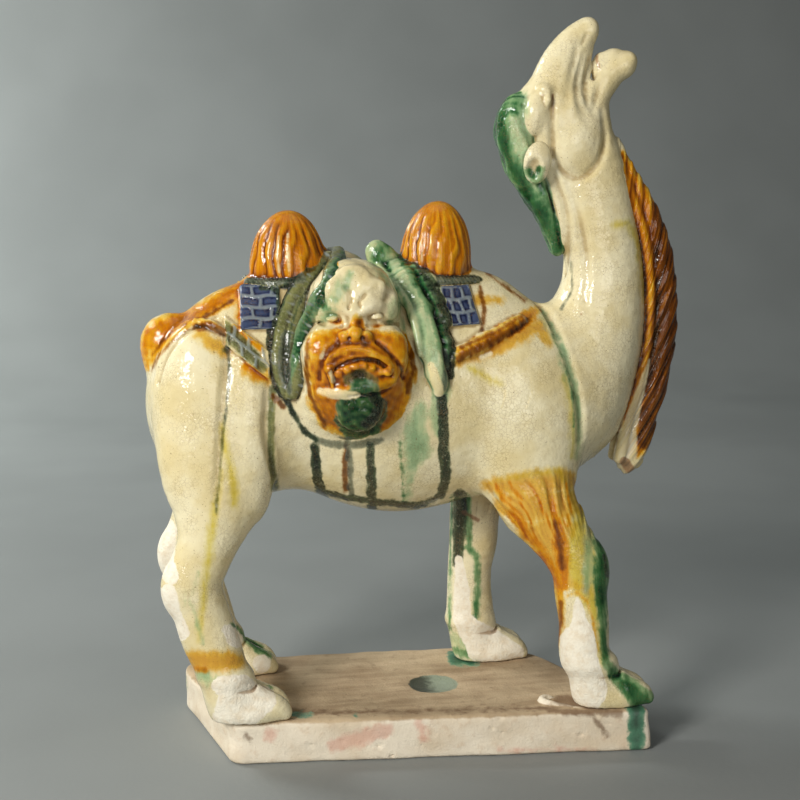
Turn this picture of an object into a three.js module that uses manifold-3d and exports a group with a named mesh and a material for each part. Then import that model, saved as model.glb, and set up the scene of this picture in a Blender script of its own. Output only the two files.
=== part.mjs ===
// A glazed pottery camel with two humps and a pack saddle, braying on the flat slab it stands on.
// Lengths are millimetres, +X runs towards the head, +Y to the camel's left and +Z up, and the
// origin is the middle of the slab's underside. The camel is one closed skin: a field that is
// negative inside the clay, sampled on a grid, turned into triangles and thinned out.
import * as THREE from "three";
import { edgeTable, triTable } from "three/addons/objects/MarchingCubes.js";
import { mergeVertices } from "three/addons/utils/BufferGeometryUtils.js";
import Module from "manifold-3d";

// Driving sizes
const figureHeight = 342; // soles to the tip of the nose
const slabLength = 0.688 * figureHeight; // corner to corner, as is the depth
const slabDepth = 0.345 * figureHeight;
const slabThickness = 22;
const slabEdgeRound = 1.5;
const slabCornerRadius = 4;
const wornCornerRadius = 14; // at the far tail end
const dishRadius = 14; // the shallow round hollow under the belly
const dishDepth = 2.5;
const soleGap = 0.3; // keeps the soles clear of the slab

// The slab was cut by hand: how far its odd corners lie in from its ends and from its sides
const nearTailCorner = [0.067 * figureHeight, 0.058 * figureHeight];
const farHeadCorners = [
  [0.114 * figureHeight, 0.067 * figureHeight],
  [0.208 * figureHeight, 0.02 * figureHeight],
];

// The camel's own middle, seen from the middle of the slab, and the dish seen from the camel's middle
const camelForward = 0.032 * figureHeight;
const camelAside = 0.006 * figureHeight;
const dishForward = 0.009 * figureHeight;
const dishAside = -0.012 * figureHeight;

// How finely the camel's skin is sampled, and how many triangles are kept of it
const gridStep = 1.7;
const skinTriangles = 9200;

// The camel is drawn at this height, in its own frame: soles at z = 0, and scaled to figureHeight
const drawnHeight = 342;
const drawnBox = { low: [-150, -62, -1], high: [137, 62, 346] };
const unit = figureHeight / drawnHeight;

// Fields: a field takes a point and gives about how far outside the clay it is

const trunkFillet = 24; // the widest fillet on the camel
const reach = trunkFillet; // past this distance a field may answer with the distance to its box

function blend(a, b, soft) {
  const h = Math.max(soft - Math.abs(a - b), 0) / soft;
  return Math.min(a, b) - (h * h * soft) / 4;
}

const carve = (a, tool, soft) => -blend(-a, tool, soft);

const clamp = (v, low, high) => Math.min(high, Math.max(low, v));

function smoothStep(low, high, v) {
  const t = clamp((v - low) / (high - low), 0, 1);
  return t * t * (3 - 2 * t);
}

function outsideBox(x, y, z, low, high) {
  const dx = Math.max(low[0] - x, 0, x - high[0]);
  const dy = Math.max(low[1] - y, 0, y - high[1]);
  const dz = Math.max(low[2] - z, 0, z - high[2]);
  return Math.sqrt(dx * dx + dy * dy + dz * dz);
}

// An ellipsoid with radii r about the point at; lean tips its top towards +X
function ball(at, r, lean = 0) {
  const [cl, sl] = [Math.cos(lean), Math.sin(lean)];
  const most = Math.max(...r);
  return (px, py, pz) => {
    const dx = px - at[0];
    const dy = py - at[1];
    const dz = pz - at[2];
    const far = Math.sqrt(dx * dx + dy * dy + dz * dz) - most;
    if (far > reach) return far;
    const [u, v, w] = [(dx * cl - dz * sl) / r[0], dy / r[1], (dx * sl + dz * cl) / r[2]];
    const k0 = Math.hypot(u, v, w);
    const k1 = Math.hypot(u / r[0], v / r[1], w / r[2]);
    return k1 > 1e-9 ? (k0 * (k0 - 1)) / k1 : -most;
  };
}

// A limb through stations [x, y, z, half thickness seen from the side, half width across].
// Its stations are joined by a smooth curve, cut into short tapered pieces.
function limb(stations, pieces = 4) {
  const at = (i) => stations[clamp(i, 0, stations.length - 1)];
  const curve = (i, t) =>
    at(i).map((b, k) => {
      const [a, c, d] = [at(i - 1)[k], at(i + 1)[k], at(i + 2)[k]];
      return b + 0.5 * t * (c - a + t * (2 * a - 5 * b + 4 * c - d + t * (3 * (b - c) + d - a)));
    });
  const points = [];
  for (let i = 0; i < stations.length - 1; i++)
    for (let j = 0; j < pieces; j++) points.push(curve(i, j / pieces));
  points.push(at(stations.length - 1));
  const low = [0, 1, 2].map((k) => Math.min(...points.map((p) => p[k] - Math.max(p[3], p[4]))));
  const high = [0, 1, 2].map((k) => Math.max(...points.map((p) => p[k] + Math.max(p[3], p[4]))));
  return (x, y, z) => {
    const far = outsideBox(x, y, z, low, high);
    if (far > reach) return far;
    let least = Infinity;
    for (let i = 0; i < points.length - 1; i++) {
      const p = points[i];
      const q = points[i + 1];
      const [ax, ay, az] = [q[0] - p[0], q[1] - p[1], q[2] - p[2]];
      const along = (x - p[0]) * ax + (y - p[1]) * ay + (z - p[2]) * az;
      const t = clamp(along / (ax * ax + ay * ay + az * az), 0, 1);
      const thick = p[3] + t * (q[3] - p[3]);
      const wide = p[4] + t * (q[4] - p[4]);
      const dx = x - p[0] - t * ax;
      const dy = ((y - p[1] - t * ay) * thick) / wide;
      const dz = z - p[2] - t * az;
      const d = (Math.sqrt(dx * dx + dy * dy + dz * dz) - thick) * Math.min(1, wide / thick);
      if (d < least) least = d;
    }
    return least;
  };
}

// Each piece is blended into what the list has built so far; soft is the width of the fillet
const joined = (pieces) => (x, y, z) =>
  pieces.reduce((d, [field, soft]) => blend(d, field(x, y, z), soft), 1e3);

const bothSides = (field) => (x, y, z) => field(x, Math.abs(y), z);

// The point of a field's left side that is seen from the left at x and z, moved outwards by off
function onSide(field, [x, z, off = 0]) {
  let [inner, outer] = [0, 70];
  if (field(x, inner, z) > 0) return [x, inner, z];
  for (let i = 0; i < 24; i++) {
    const middle = (inner + outer) / 2;
    if (field(x, middle, z) > 0) outer = middle;
    else inner = middle;
  }
  return [x, inner + off, z];
}

// The camel's body

const trunk = joined([
  [ball([44, 0, 150], [49, 35, 50]), 1],
  [ball([-30, 0, 159], [76, 38, 57]), trunkFillet],
  [ball([-12, 0, 143], [50, 31, 48]), 20],
  [ball([-99, 0, 153], [43, 35, 50]), 18],
  [ball([19, 0, 175], [41, 24, 42]), 8],
  [ball([-90, 0, 170], [38, 28, 42]), 8],
  [bothSides(ball([46, 19, 143], [30, 20, 43], -0.12)), 7],
  [bothSides(ball([-114.5, 16, 150], [22.5, 21, 46], -0.05)), 7],
  [bothSides(ball([-93, 27, 142], [11.5, 12, 41], -0.04)), 4],
]);

const tail = limb([
  [-104, 0, 193, 7, 9],
  [-120, 0, 189.5, 8, 10],
  [-131, 0, 184, 9.5, 10.5],
  [-137.5, 0, 173, 7.5, 9],
  [-136.5, 0, 160, 5, 6.5],
  [-136, 0, 150, 3, 4],
]);

// A foot has a heel, a broad pad and a cleft between its two toes
const toeReach = 12;
function foot(x, y) {
  const pads = joined([
    [ball([x + 1, y, 9], [11, 11, 13]), 1],
    [ball([x + toeReach, y, 6], [20, 13.5, 11.5]), 7],
    [ball([x + toeReach - 4, y, 12], [12, 9, 9], 0.5), 6],
  ]);
  const cleft = limb([
    [x + toeReach + 4, y, 21, 1.6, 1.6],
    [x + toeReach + 21, y, 9, 1.6, 1.6],
    [x + toeReach + 25, y, -3, 1.6, 1.6],
  ]);
  return (px, py, pz) => carve(pads(px, py, pz), cleft(px, py, pz), 2);
}

const hindLegStations = [
  [-100, 15, 150, 28, 20],
  [-110, 23, 126, 26, 18],
  [-110, 27, 108, 21, 15.5],
  [-113.5, 29, 92, 15.6, 13],
  [-118, 30, 80, 14, 12],
  [-122, 31, 69, 14, 11.8],
  [-119, 31, 56, 13.6, 11.3],
  [-115, 31.5, 42, 13.8, 11.2],
  [-110.5, 32, 29, 12.8, 11.4],
  [-107, 33, 17, 12, 11.5],
];
const nearForeLegStations = [
  [46, 20, 132, 26, 17],
  [50, 26, 106, 21, 15.5],
  [59, 30, 90, 16.5, 13.5],
  [66, 33, 79, 14.5, 12.5],
  [71.5, 36, 68, 14.2, 12],
  [72, 38.5, 55, 13.3, 11.2],
  [73, 41.5, 42, 12.8, 11],
  [75, 44, 30, 13.2, 11.5],
  [76, 45.5, 19, 11.6, 11],
];
const farForeLegStations = [
  [44, 20, 132, 25, 17],
  [38, 25, 106, 17, 14],
  [33, 28, 88, 14, 12.5],
  [32, 30, 68, 13, 11.8],
  [30.5, 31, 52, 12, 10.5],
  [30.5, 32, 38, 12.2, 10.6],
  [31, 32, 28, 12.8, 11.5],
  [31, 32, 18, 11.5, 11],
];

// side is -1 for the camel's right legs and 1 for its left
function leg(stations, side) {
  const placed = stations.map(([x, y, ...rest]) => [x, side * y, ...rest]);
  const [ankleX, ankleY] = placed[placed.length - 1];
  return joined([
    [limb(placed), 1],
    [foot(ankleX, ankleY), 5],
  ]);
}

const hock = (side) => ball([-130, side * 31, 66], [6, 6.5, 10]);
const knee = (x, side, y) => ball([x, side * y, 67], [6, 8.5, 11]);

// The long hair on the forearms is combed down towards the knee
const lockAngle = 0.085; // radians between two locks
function foreHair(x, y, z) {
  const [kneeX, kneeZ] = y < 0 ? [76, 40] : [31, 30];
  const comb = Math.cos((2 * Math.PI * Math.atan2(x - kneeX, z - kneeZ)) / lockAngle);
  return 0.45 * comb * smoothStep(82, 94, z) * smoothStep(123, 116, z) * smoothStep(14, 22, x);
}

// Neck and head

const neck = limb([
  [79, 0, 288, 16, 12.5],
  [84, 0, 264, 19, 14],
  [88, 0, 243, 20, 15.5],
  [92, 0, 222, 20.5, 17],
  [92, 0, 204, 22, 19],
  [88, 0, 186, 26, 22],
  [80, 0, 168, 31, 26],
  [70, 0, 150, 36, 30],
]);

// The nape behind the cheek, which the mane lies against
const nape = limb([
  [63, 0, 290, 12, 11],
  [65, 0, 270, 9.5, 10.5],
  [70, 0, 250, 8, 9.5],
  [74, 0, 232, 6, 8],
]);

const skull = joined([
  [
    limb([
      [62, 0, 292, 16, 12.5],
      [66, 0, 306, 14.5, 11],
      [70, 0, 318, 12.6, 9.5],
      [75, 0, 328, 9.6, 8],
      [80, 0, 335.6, 6, 6.8],
      [81.3, 0, 338, 4.4, 6],
    ]),
    1,
  ],
  [ball([82.5, 0, 335.5], [4, 7.4, 5]), 3],
]);

const jaw = limb([
  [82, 0, 294, 12, 9.5],
  [88, 0, 303, 9.4, 8],
  [94.5, 0, 313.5, 7.6, 7.5],
  [100.5, 0, 321.2, 6.2, 8],
]);
const chin = ball([100, 0, 316.5], [5.6, 6.5, 6.4]);

const mouth = limb([
  [83.5, 0, 312, 1.4, 9],
  [87, 0, 320, 1.8, 10],
  [89.2, 0, 328, 2.4, 10],
  [91, 0, 337, 4.6, 10],
]);
const tongue = ball([88.5, 0, 317.5], [5, 4.6, 8.6]);

// Brow, temple and cheek stand out from the side of the head, with the eye between them
const headSides = bothSides(
  joined([
    [ball([73, 9, 283], [8, 6.8, 18], 0.12), 1],
    [ball([52.5, 9, 294], [5.6, 5, 10], 0.15), 3],
    [ball([58, 9, 305], [5, 4, 3.6], 0.6), 2],
    [ball([58.6, 12.2, 300.8], [2.9, 2.6, 3.2]), 0.8],
  ]),
);

const ears = bothSides(ball([54, 14, 270], [4.4, 3.6, 10.5], 0.08));
const earHollows = bothSides(ball([53, 17.8, 267.5], [2.2, 2.8, 6.6], 0.08));

// Folds of skin, drawn as furrows: two down the face, one round the cheek, one from the eye past
// the ear, one down the side of the neck, one between shoulder and neck and one beside the tail
const furrow = (path, radius) => limb(path.map((p) => [...p, radius, radius]));
const face = joined([
  [neck, 1],
  [nape, 4],
  [skull, 6],
  [jaw, 6],
  [chin, 3],
  [headSides, 2.5],
]);
const shoulder = joined([
  [trunk, 1],
  [neck, 9],
]);
const foldIn = (field, path, radius) => [furrow(path.map((p) => onSide(field, p)), radius), 0.5];
const folds = bothSides(
  joined([
    foldIn(face, [[75, 334], [71, 322], [70, 310], [71, 297]], 1.2),
    foldIn(face, [[86, 313], [81, 303], [82, 291]], 1.2),
    foldIn(face, [[83, 293], [81, 281], [77, 270], [70, 263]], 1.3),
    foldIn(face, [[60.5, 296], [62.5, 282], [63, 268], [68, 248], [68, 236]], 1.6),
    foldIn(face, [[69, 257], [76, 240], [79, 222], [76, 205]], 1.5),
    foldIn(shoulder, [[57, 195], [62, 180], [67, 165], [71, 150], [71, 138]], 1.6),
    foldIn(trunk, [[-104, 200], [-117, 195], [-127, 186], [-132, 172], [-134, 158]], 2),
  ]),
);
const nostrils = bothSides(ball([79.5, 6, 332.5], [1.2, 1.8, 3], 0.5));

// The mane hangs from the crown down the nape, in thick locks
const maneStations = [
  [46, 0, 296, 8, 9],
  [44, 0, 290, 9.4, 10],
  [46, 0, 277, 9.8, 10.5],
  [51.5, 0, 262, 9, 10],
  [58.5, 0, 248, 7.4, 8.5],
  [63.6, 0, 236, 5.6, 6.5],
  [67, 0, 227, 3.6, 4.5],
];
const maneBody = limb(maneStations);
const mane = (x, y, z) =>
  maneBody(x, y, z) + 0.7 * Math.sin(0.7 * y + 0.16 * z) * Math.cos(0.21 * z + 0.1 * x);

// The beard is a thick fringe down the whole front of the neck, with slanting strands
const beardStations = [
  [97, 0, 281, 2.6, 4],
  [103, 0, 266, 5, 6],
  [109.5, 0, 254, 6.4, 7],
  [115, 0, 242, 7.4, 7.6],
  [119.5, 0, 229, 8.2, 8],
  [122, 0, 216, 8.8, 8.2],
  [123.5, 0, 203, 9, 8.2],
  [123.8, 0, 190, 9.2, 8.2],
  [123.2, 0, 178, 9.4, 8.2],
  [121, 0, 166, 9.6, 8],
  [118.4, 0, 153, 9.8, 7.6],
  [114.6, 0, 140, 9.6, 7],
  [111.5, 0, 127, 8.4, 6.2],
  [109.5, 0, 116, 5.6, 5],
  [108.5, 0, 110, 2.6, 3],
];
const beardBody = limb(beardStations, 2);
const beardRib = bothSides(
  limb(beardStations.slice(1, -1).map(([x, , z, a, b]) => [x - 0.62 * a, 0.72 * b, z, 2.6, 2.4])),
);
const strandPitch = 5.4;
const strandSlope = 0.84; // radians above level
function beard(x, y, z) {
  const body = beardBody(x, y, z);
  if (body > reach) return body;
  const across = z * Math.cos(strandSlope) - x * Math.sin(strandSlope);
  const strands = body + 0.45 * Math.sin((2 * Math.PI * across) / strandPitch);
  return blend(strands, beardRib(x, y, z), 1.5);
}

// Humps: a smooth base on the back and a cap of combed hair with a clear rim

const hairLocks = 21;
const capRim = 215;
const underCap = 11; // how far the base reaches up inside the cap
const humpFoot = 196;
const humpBase = (x) => ball([x - 1, 0, humpFoot], [25, 20, capRim + underCap - humpFoot]);
function hump({ x, top, wide, lean }) {
  const base = humpBase(x);
  const dome = ball([x, 0, top - 29.5], [wide, 16.8, 29.5], lean);
  return (px, py, pz) => {
    const around = Math.atan2(py, px - x);
    const wave = hairLocks * around + 1.1 * Math.sin(0.16 * pz + 2 * around);
    const fade = smoothStep(top + 1, top - 9, pz);
    const hair = dome(px, py, pz) + 0.8 * Math.cos(wave) * fade;
    const cap = -blend(-hair, pz - capRim, 2.5);
    return blend(base(px, py, pz), cap, 1.5);
  };
}
const frontHump = { x: 4, top: 251.5, wide: 17.8, lean: 0.08 };
const rearHump = { x: -70.5, top: 247.5, wide: 19, lean: 0.02 };
const humpSlope = ball([-52, 0, 205], [16, 16, 22]);

// The pack saddle

// A bundle lies across the back between the humps, and a broad bag hangs from it on each flank
const bundle = ball([-40, 0, 189], [23, 32, 34]);
const bag = joined([
  [ball([-41, 27, 166], [33, 21, 30]), 1],
  [ball([-42, 26, 198], [23, 21, 27]), 12],
]);

// Each bag is moulded as the mask of a snarling beast
const maskX = -43.5;
const mirrored = (field) => (x, y, z) => field(Math.abs(x - maskX), y, z);
const maskForms = joined([
  [ball([maskX, 33, 173], [26, 22, 31]), 1],
  [ball([maskX, 37, 213], [19, 14, 13]), 6],
  [mirrored(ball([9.5, 46, 207.5], [9, 7, 6], 0.2)), 3],
  [mirrored(ball([10.4, 51, 199.5], [4.6, 3.8, 2.8], 0.2)), 0.8],
  [ball([maskX, 51, 201], [3.2, 5, 8]), 2],
  [ball([maskX, 56, 192.5], [5.2, 5, 4.8]), 2],
  [mirrored(ball([5.6, 54.5, 191], [3.6, 4, 3.4])), 1.5],
  [mirrored(ball([15.5, 44, 184], [9, 9.5, 10.5])), 4],
  [ball([maskX + 1, 46, 159], [13, 9, 15.5]), 4],
]);

// The lips make a wide arch that turns down at the corners, with a fang at either end
const upperLipPath = [[-2, 53.5, 184.4], [0, 53.5, 184.5], [8.5, 51, 182], [16.5, 44, 175.5]];
const upperLip = mirrored(furrow(upperLipPath, 2.6));
const muzzleFold = mirrored(furrow([[6, 55, 187], [12, 52, 185], [18, 45.5, 178], [19, 42, 170]], 1.7));
const lowerLip = mirrored(furrow([[-2, 52, 172.4], [0, 52, 172.5], [7, 49.5, 171], [13, 44, 167]], 2.4));
const maskHollows = joined([
  [mirrored(ball([4, 58.5, 190], [1.5, 2.4, 1.7])), 0.5],
  [ball([maskX, 55, 177.8], [10.5, 5.5, 3.4]), 0.5],
]);
const fangs = mirrored(limb([[8.6, 52, 181, 1.8, 1.8], [9.2, 52, 174, 0.8, 0.8]]));

const chinFold = 6.2;
function maskBag(x, y, z) {
  const plain = bag(x, y, z);
  if (plain > reach) return plain;
  let d = blend(plain, maskForms(x, y, z), 1.5);
  d = blend(d, muzzleFold(x, y, z), 1.5);
  d = blend(d, upperLip(x, y, z), 1.5);
  d = blend(d, lowerLip(x, y, z), 2);
  d = carve(d, maskHollows(x, y, z), 1.2);
  d = blend(d, fangs(x, y, z), 0.6);
  const onChin = smoothStep(167, 163, z) * smoothStep(147, 151, z);
  const inChin = smoothStep(13, 8, Math.abs(x - maskX - 1));
  return d + 0.5 * onChin * inChin * Math.sin((2 * Math.PI * z) / chinFold);
}

// Cords and hems lie on the flank: a path gives x, z and how far its middle stands off the surface.
// Knots or twists swell a cord at even steps along its height.
const flank = joined([
  [trunk, 1],
  [bundle, 6],
  [humpSlope, 6],
  [humpBase(frontHump.x), 6],
  [humpBase(rearHump.x), 6],
  [bag, 3],
]);
function cord(path, radii, knots) {
  const body = limb(path.map((p, i) => [...onSide(flank, p), radii[i], radii[i]]));
  return (x, y, z) => {
    const d = body(x, y, z);
    if (d > reach) return d;
    return d + knots.deep * Math.sin((2 * Math.PI * (z + knots.slant * x)) / knots.pitch);
  };
}

const sashPath = [
  [-31, 221, 1],
  [-26.4, 225, 1],
  [-20.3, 215, 1],
  [-15.7, 202, 2],
  [-9.8, 190.6, 3],
  [-6, 176, 3],
  [-4.4, 166, 2],
  [-4.2, 161],
];
const sashRadii = [6.5, 7, 6, 5.6, 6, 6.4, 4.4, 3];
const frontSash = cord(sashPath, sashRadii, { deep: 0.8, pitch: 16, slant: -0.4 });

// Three cords fan out from one end behind the mask; the share goes from the outer to the inner one
const cordEnd = [-74, 163];
const cordPath = (share) => {
  const mix = (a, b) => a + share * (b - a);
  return [
    [mix(-58, -47.4), mix(222, 224), 1],
    [mix(-67.5, -56), mix(214, 216), 1],
    [mix(-74.5, -63.2), mix(203, 204), 1],
    [mix(-77.4, -67.6), mix(190, 192), 1.5],
    [mix(-78, -69.4), mix(176, 180), 2],
    [mix(-75.5, -71.2), mix(168, 169), 2],
    cordEnd,
  ];
};
const cordRadii = [3, 3.4, 3.4, 3.4, 3.4, 3.4, 3];
const cordTwist = { deep: 0.25, pitch: 7, slant: 0.8 };
const rearCords = joined([0, 0.5, 1].map((share) => [cord(cordPath(share), cordRadii, cordTwist), 0.6]));

const hemTwist = { deep: 0.5, pitch: 7, slant: 1 };
const frontHemPath = [[6, 178], [12, 181], [24, 187.5], [36, 193.5], [45, 197.5]];
const frontHem = cord(frontHemPath, [3, 4.2, 4.4, 4, 2.6], hemTwist);
const rearHemPath = [[-114, 196], [-106, 194], [-99, 189], [-93, 182], [-87, 174]];
const rearHem = cord(rearHemPath, [2.6, 4, 4.6, 5, 3.6], hemTwist);

// Woven panels beside the humps are raised a little from the flank, with ribs between their tiles.
// A panel is a leaning rectangle given by its middle, width, height, shear, rows and columns.
const panels = [
  { x: -88.5, z: 205, wide: 15, tall: 21, shear: 0.05, slope: -0.1, rows: 4, columns: 1 },
  { x: 8, z: 204.5, wide: 21, tall: 20, shear: -0.2, slope: 0.12, rows: 3, columns: 2 },
];
const panelRise = 1.6;
const ribRise = 0.8;
const ribWidth = 1.6;
function panelRelief(x, y, z) {
  if (Math.abs(y) < 8) return 0;
  let rise = 0;
  for (const { x: cx, z: cz, wide, tall, shear, slope, rows, columns } of panels) {
    const u = (x - cx - shear * (z - cz)) / wide + 0.5;
    const v = (z - cz - slope * (x - cx)) / tall + 0.5;
    const rim = Math.min(u * wide, (1 - u) * wide, v * tall, (1 - v) * tall);
    if (rim < -1) continue;
    const toLine = (t, n, size) => (Math.abs(t * n - Math.round(t * n)) * size) / n;
    const line = Math.min(toLine(u, columns, wide), toLine(v, rows, tall));
    rise += (panelRise + ribRise * smoothStep(ribWidth, 0.4, line)) * smoothStep(-1, 0.8, rim);
  }
  return rise;
}

// The camel's bare body, standing on z = 0
const coarse = joined([
  [trunk, 1],
  [leg(hindLegStations, -1), 9],
  [leg(hindLegStations, 1), 9],
  [leg(nearForeLegStations, -1), 9],
  [leg(farForeLegStations, 1), 9],
  [hock(-1), 7],
  [hock(1), 7],
  [knee(78, -1, 35), 8],
  [knee(34, 1, 30), 8],
  [neck, 9],
  [nape, 4],
  [skull, 6],
  [jaw, 6],
  [chin, 3],
]);

// Everything on the camel, each piece over the ones before it
const bags = bothSides(maskBag);
const hems = bothSides(joined([[frontHem, 1], [rearHem, 1]]));
const cords = bothSides(joined([[frontSash, 1], [rearCords, 1]]));
const humps = joined([frontHump, rearHump].map((shape) => [hump(shape), 6]));
function camel(x, y, z) {
  let d = coarse(x, y, z) + foreHair(x, y, z);
  d = carve(d, mouth(x, y, z), 1.5);
  d = blend(d, tongue(x, y, z), 1);
  d = blend(d, headSides(x, y, z), 2.5);
  d = carve(d, folds(x, y, z), 2.5);
  d = carve(d, nostrils(x, y, z), 0.8);
  d = blend(d, ears(x, y, z), 1.2);
  d = carve(d, earHollows(x, y, z), 1);
  d = blend(d, mane(x, y, z), 2);
  d = blend(d, beard(x, y, z), 1.5);
  d = blend(d, tail(x, y, z), 3);
  d = blend(d, humpSlope(x, y, z), 6);
  d = blend(d, humps(x, y, z), 6);
  d = blend(d, bundle(x, y, z), 6);
  d -= panelRelief(x, y, z);
  d = blend(d, hems(x, y, z), 1.5);
  d = blend(d, bags(x, y, z), 3);
  d = blend(d, cords(x, y, z), 1.2);
  return Math.max(d, -z);
}

// Turning a field into triangles

const corners = [
  [0, 0, 0],
  [1, 0, 0],
  [1, 1, 0],
  [0, 1, 0],
  [0, 0, 1],
  [1, 0, 1],
  [1, 1, 1],
  [0, 1, 1],
];
const edges = [
  [0, 1], [1, 2], [3, 2], [0, 3], [4, 5], [5, 6], [7, 6], [4, 7], [0, 4], [1, 5], [2, 6], [3, 7],
];

// Samples the field on a grid. Blocks of the grid that are far from the skin are filled with one value.
function sample(field, { low, high }, step) {
  const size = [0, 1, 2].map((k) => Math.ceil((high[k] - low[k]) / step) + 1);
  const [nx, ny, nz] = size;
  const values = new Float32Array(nx * ny * nz);
  const block = 6;
  const halfDiagonal = 0.5 * Math.sqrt(3) * block * step;
  const at = (k, i) => low[k] + i * step;
  const near = [];
  for (let bz = 0; bz < nz; bz += block)
    for (let by = 0; by < ny; by += block)
      for (let bx = 0; bx < nx; bx += block) {
        const mid = [bx, by, bz].map((b, k) => at(k, b + block / 2));
        const d = field(...mid);
        if (Math.abs(d) < 1.6 * halfDiagonal) near.push([bx, by, bz]);
        else fill(bx, by, bz, () => d);
      }
  for (const [bx, by, bz] of near) fill(bx, by, bz, field);
  function fill(bx, by, bz, value) {
    for (let z = bz; z <= Math.min(bz + block, nz - 1); z++)
      for (let y = by; y <= Math.min(by + block, ny - 1); y++)
        for (let x = bx; x <= Math.min(bx + block, nx - 1); x++)
          values[(z * ny + y) * nx + x] = value(at(0, x), at(1, y), at(2, z));
  }
  return { values, size };
}

// Marching cubes over the samples
function skinOf(field, box, step) {
  const { values, size } = sample(field, box, step);
  const [nx, ny, nz] = size;
  const places = [];
  const faces = [];
  const known = new Map();
  const cornerIndex = corners.map(([x, y, z]) => (z * ny + y) * nx + x);
  function crossing(cell, edge, origin) {
    const [a, b] = edges[edge];
    const key = (cell + cornerIndex[a]) * 3 + corners[b].findIndex((v, k) => v !== corners[a][k]);
    let found = known.get(key);
    if (found === undefined) {
      const [va, vb] = [values[cell + cornerIndex[a]], values[cell + cornerIndex[b]]];
      const t = clamp(va / (va - vb), 0.04, 0.96);
      found = places.length / 3;
      for (let k = 0; k < 3; k++)
        places.push(box.low[k] + step * (origin[k] + corners[a][k] + t * (corners[b][k] - corners[a][k])));
      known.set(key, found);
    }
    return found;
  }
  for (let z = 0; z < nz - 1; z++)
    for (let y = 0; y < ny - 1; y++)
      for (let x = 0; x < nx - 1; x++) {
        const cell = (z * ny + y) * nx + x;
        let outside = 0;
        for (let k = 0; k < 8; k++) if (values[cell + cornerIndex[k]] > 0) outside |= 1 << k;
        if (edgeTable[outside] === 0) continue;
        for (let i = outside * 16; triTable[i] !== -1; i += 3)
          for (const k of [0, 1, 2]) faces.push(crossing(cell, triTable[i + k], [x, y, z]));
      }
  return { places, faces };
}

// Thinning the triangles: edges are folded away, cheapest first, by the squared distances to the
// planes that met there, and never where that would pinch the skin or turn a face over

const quadricSize = 10;

function addPlane(q, at, n, d, weight) {
  const v = [n[0], n[1], n[2], d];
  for (let i = 0, k = at * quadricSize; i < 4; i++)
    for (let j = i; j < 4; j++, k++) q[k] += weight * v[i] * v[j];
}

function foldCost(m, x, y, z) {
  return (
    m[0] * x * x + 2 * m[1] * x * y + 2 * m[2] * x * z + 2 * m[3] * x +
    m[4] * y * y + 2 * m[5] * y * z + 2 * m[6] * y +
    m[7] * z * z + 2 * m[8] * z + m[9]
  );
}

// The point that lies closest to all planes of the quadric m, or null where they don't fix one
function bestPoint(m) {
  const [a, b, c, , d, e, , f] = m;
  const det = a * (d * f - e * e) - b * (b * f - c * e) + c * (b * e - c * d);
  const scale = a + d + f;
  if (Math.abs(det) < 1e-4 * scale * scale * scale) return null;
  const [p, q, r] = [-m[3], -m[6], -m[8]];
  return [
    (p * (d * f - e * e) + q * (c * e - b * f) + r * (b * e - c * d)) / det,
    (p * (c * e - b * f) + q * (a * f - c * c) + r * (b * c - a * e)) / det,
    (p * (b * e - c * d) + q * (b * c - a * e) + r * (a * d - b * b)) / det,
  ];
}

class Heap {
  items = [];
  push(item) {
    const h = this.items;
    let i = h.push(item) - 1;
    for (let up = (i - 1) >> 1; i > 0 && h[up].cost > item.cost; up = (i - 1) >> 1) {
      h[i] = h[up];
      i = up;
    }
    h[i] = item;
  }
  pop() {
    const h = this.items;
    const top = h[0];
    const last = h.pop();
    if (h.length === 0) return top;
    let i = 0;
    for (let down = 1; down < h.length; down = 2 * i + 1) {
      if (down + 1 < h.length && h[down + 1].cost < h[down].cost) down++;
      if (h[down].cost >= last.cost) break;
      h[i] = h[down];
      i = down;
    }
    h[i] = last;
    return top;
  }
}

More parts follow.
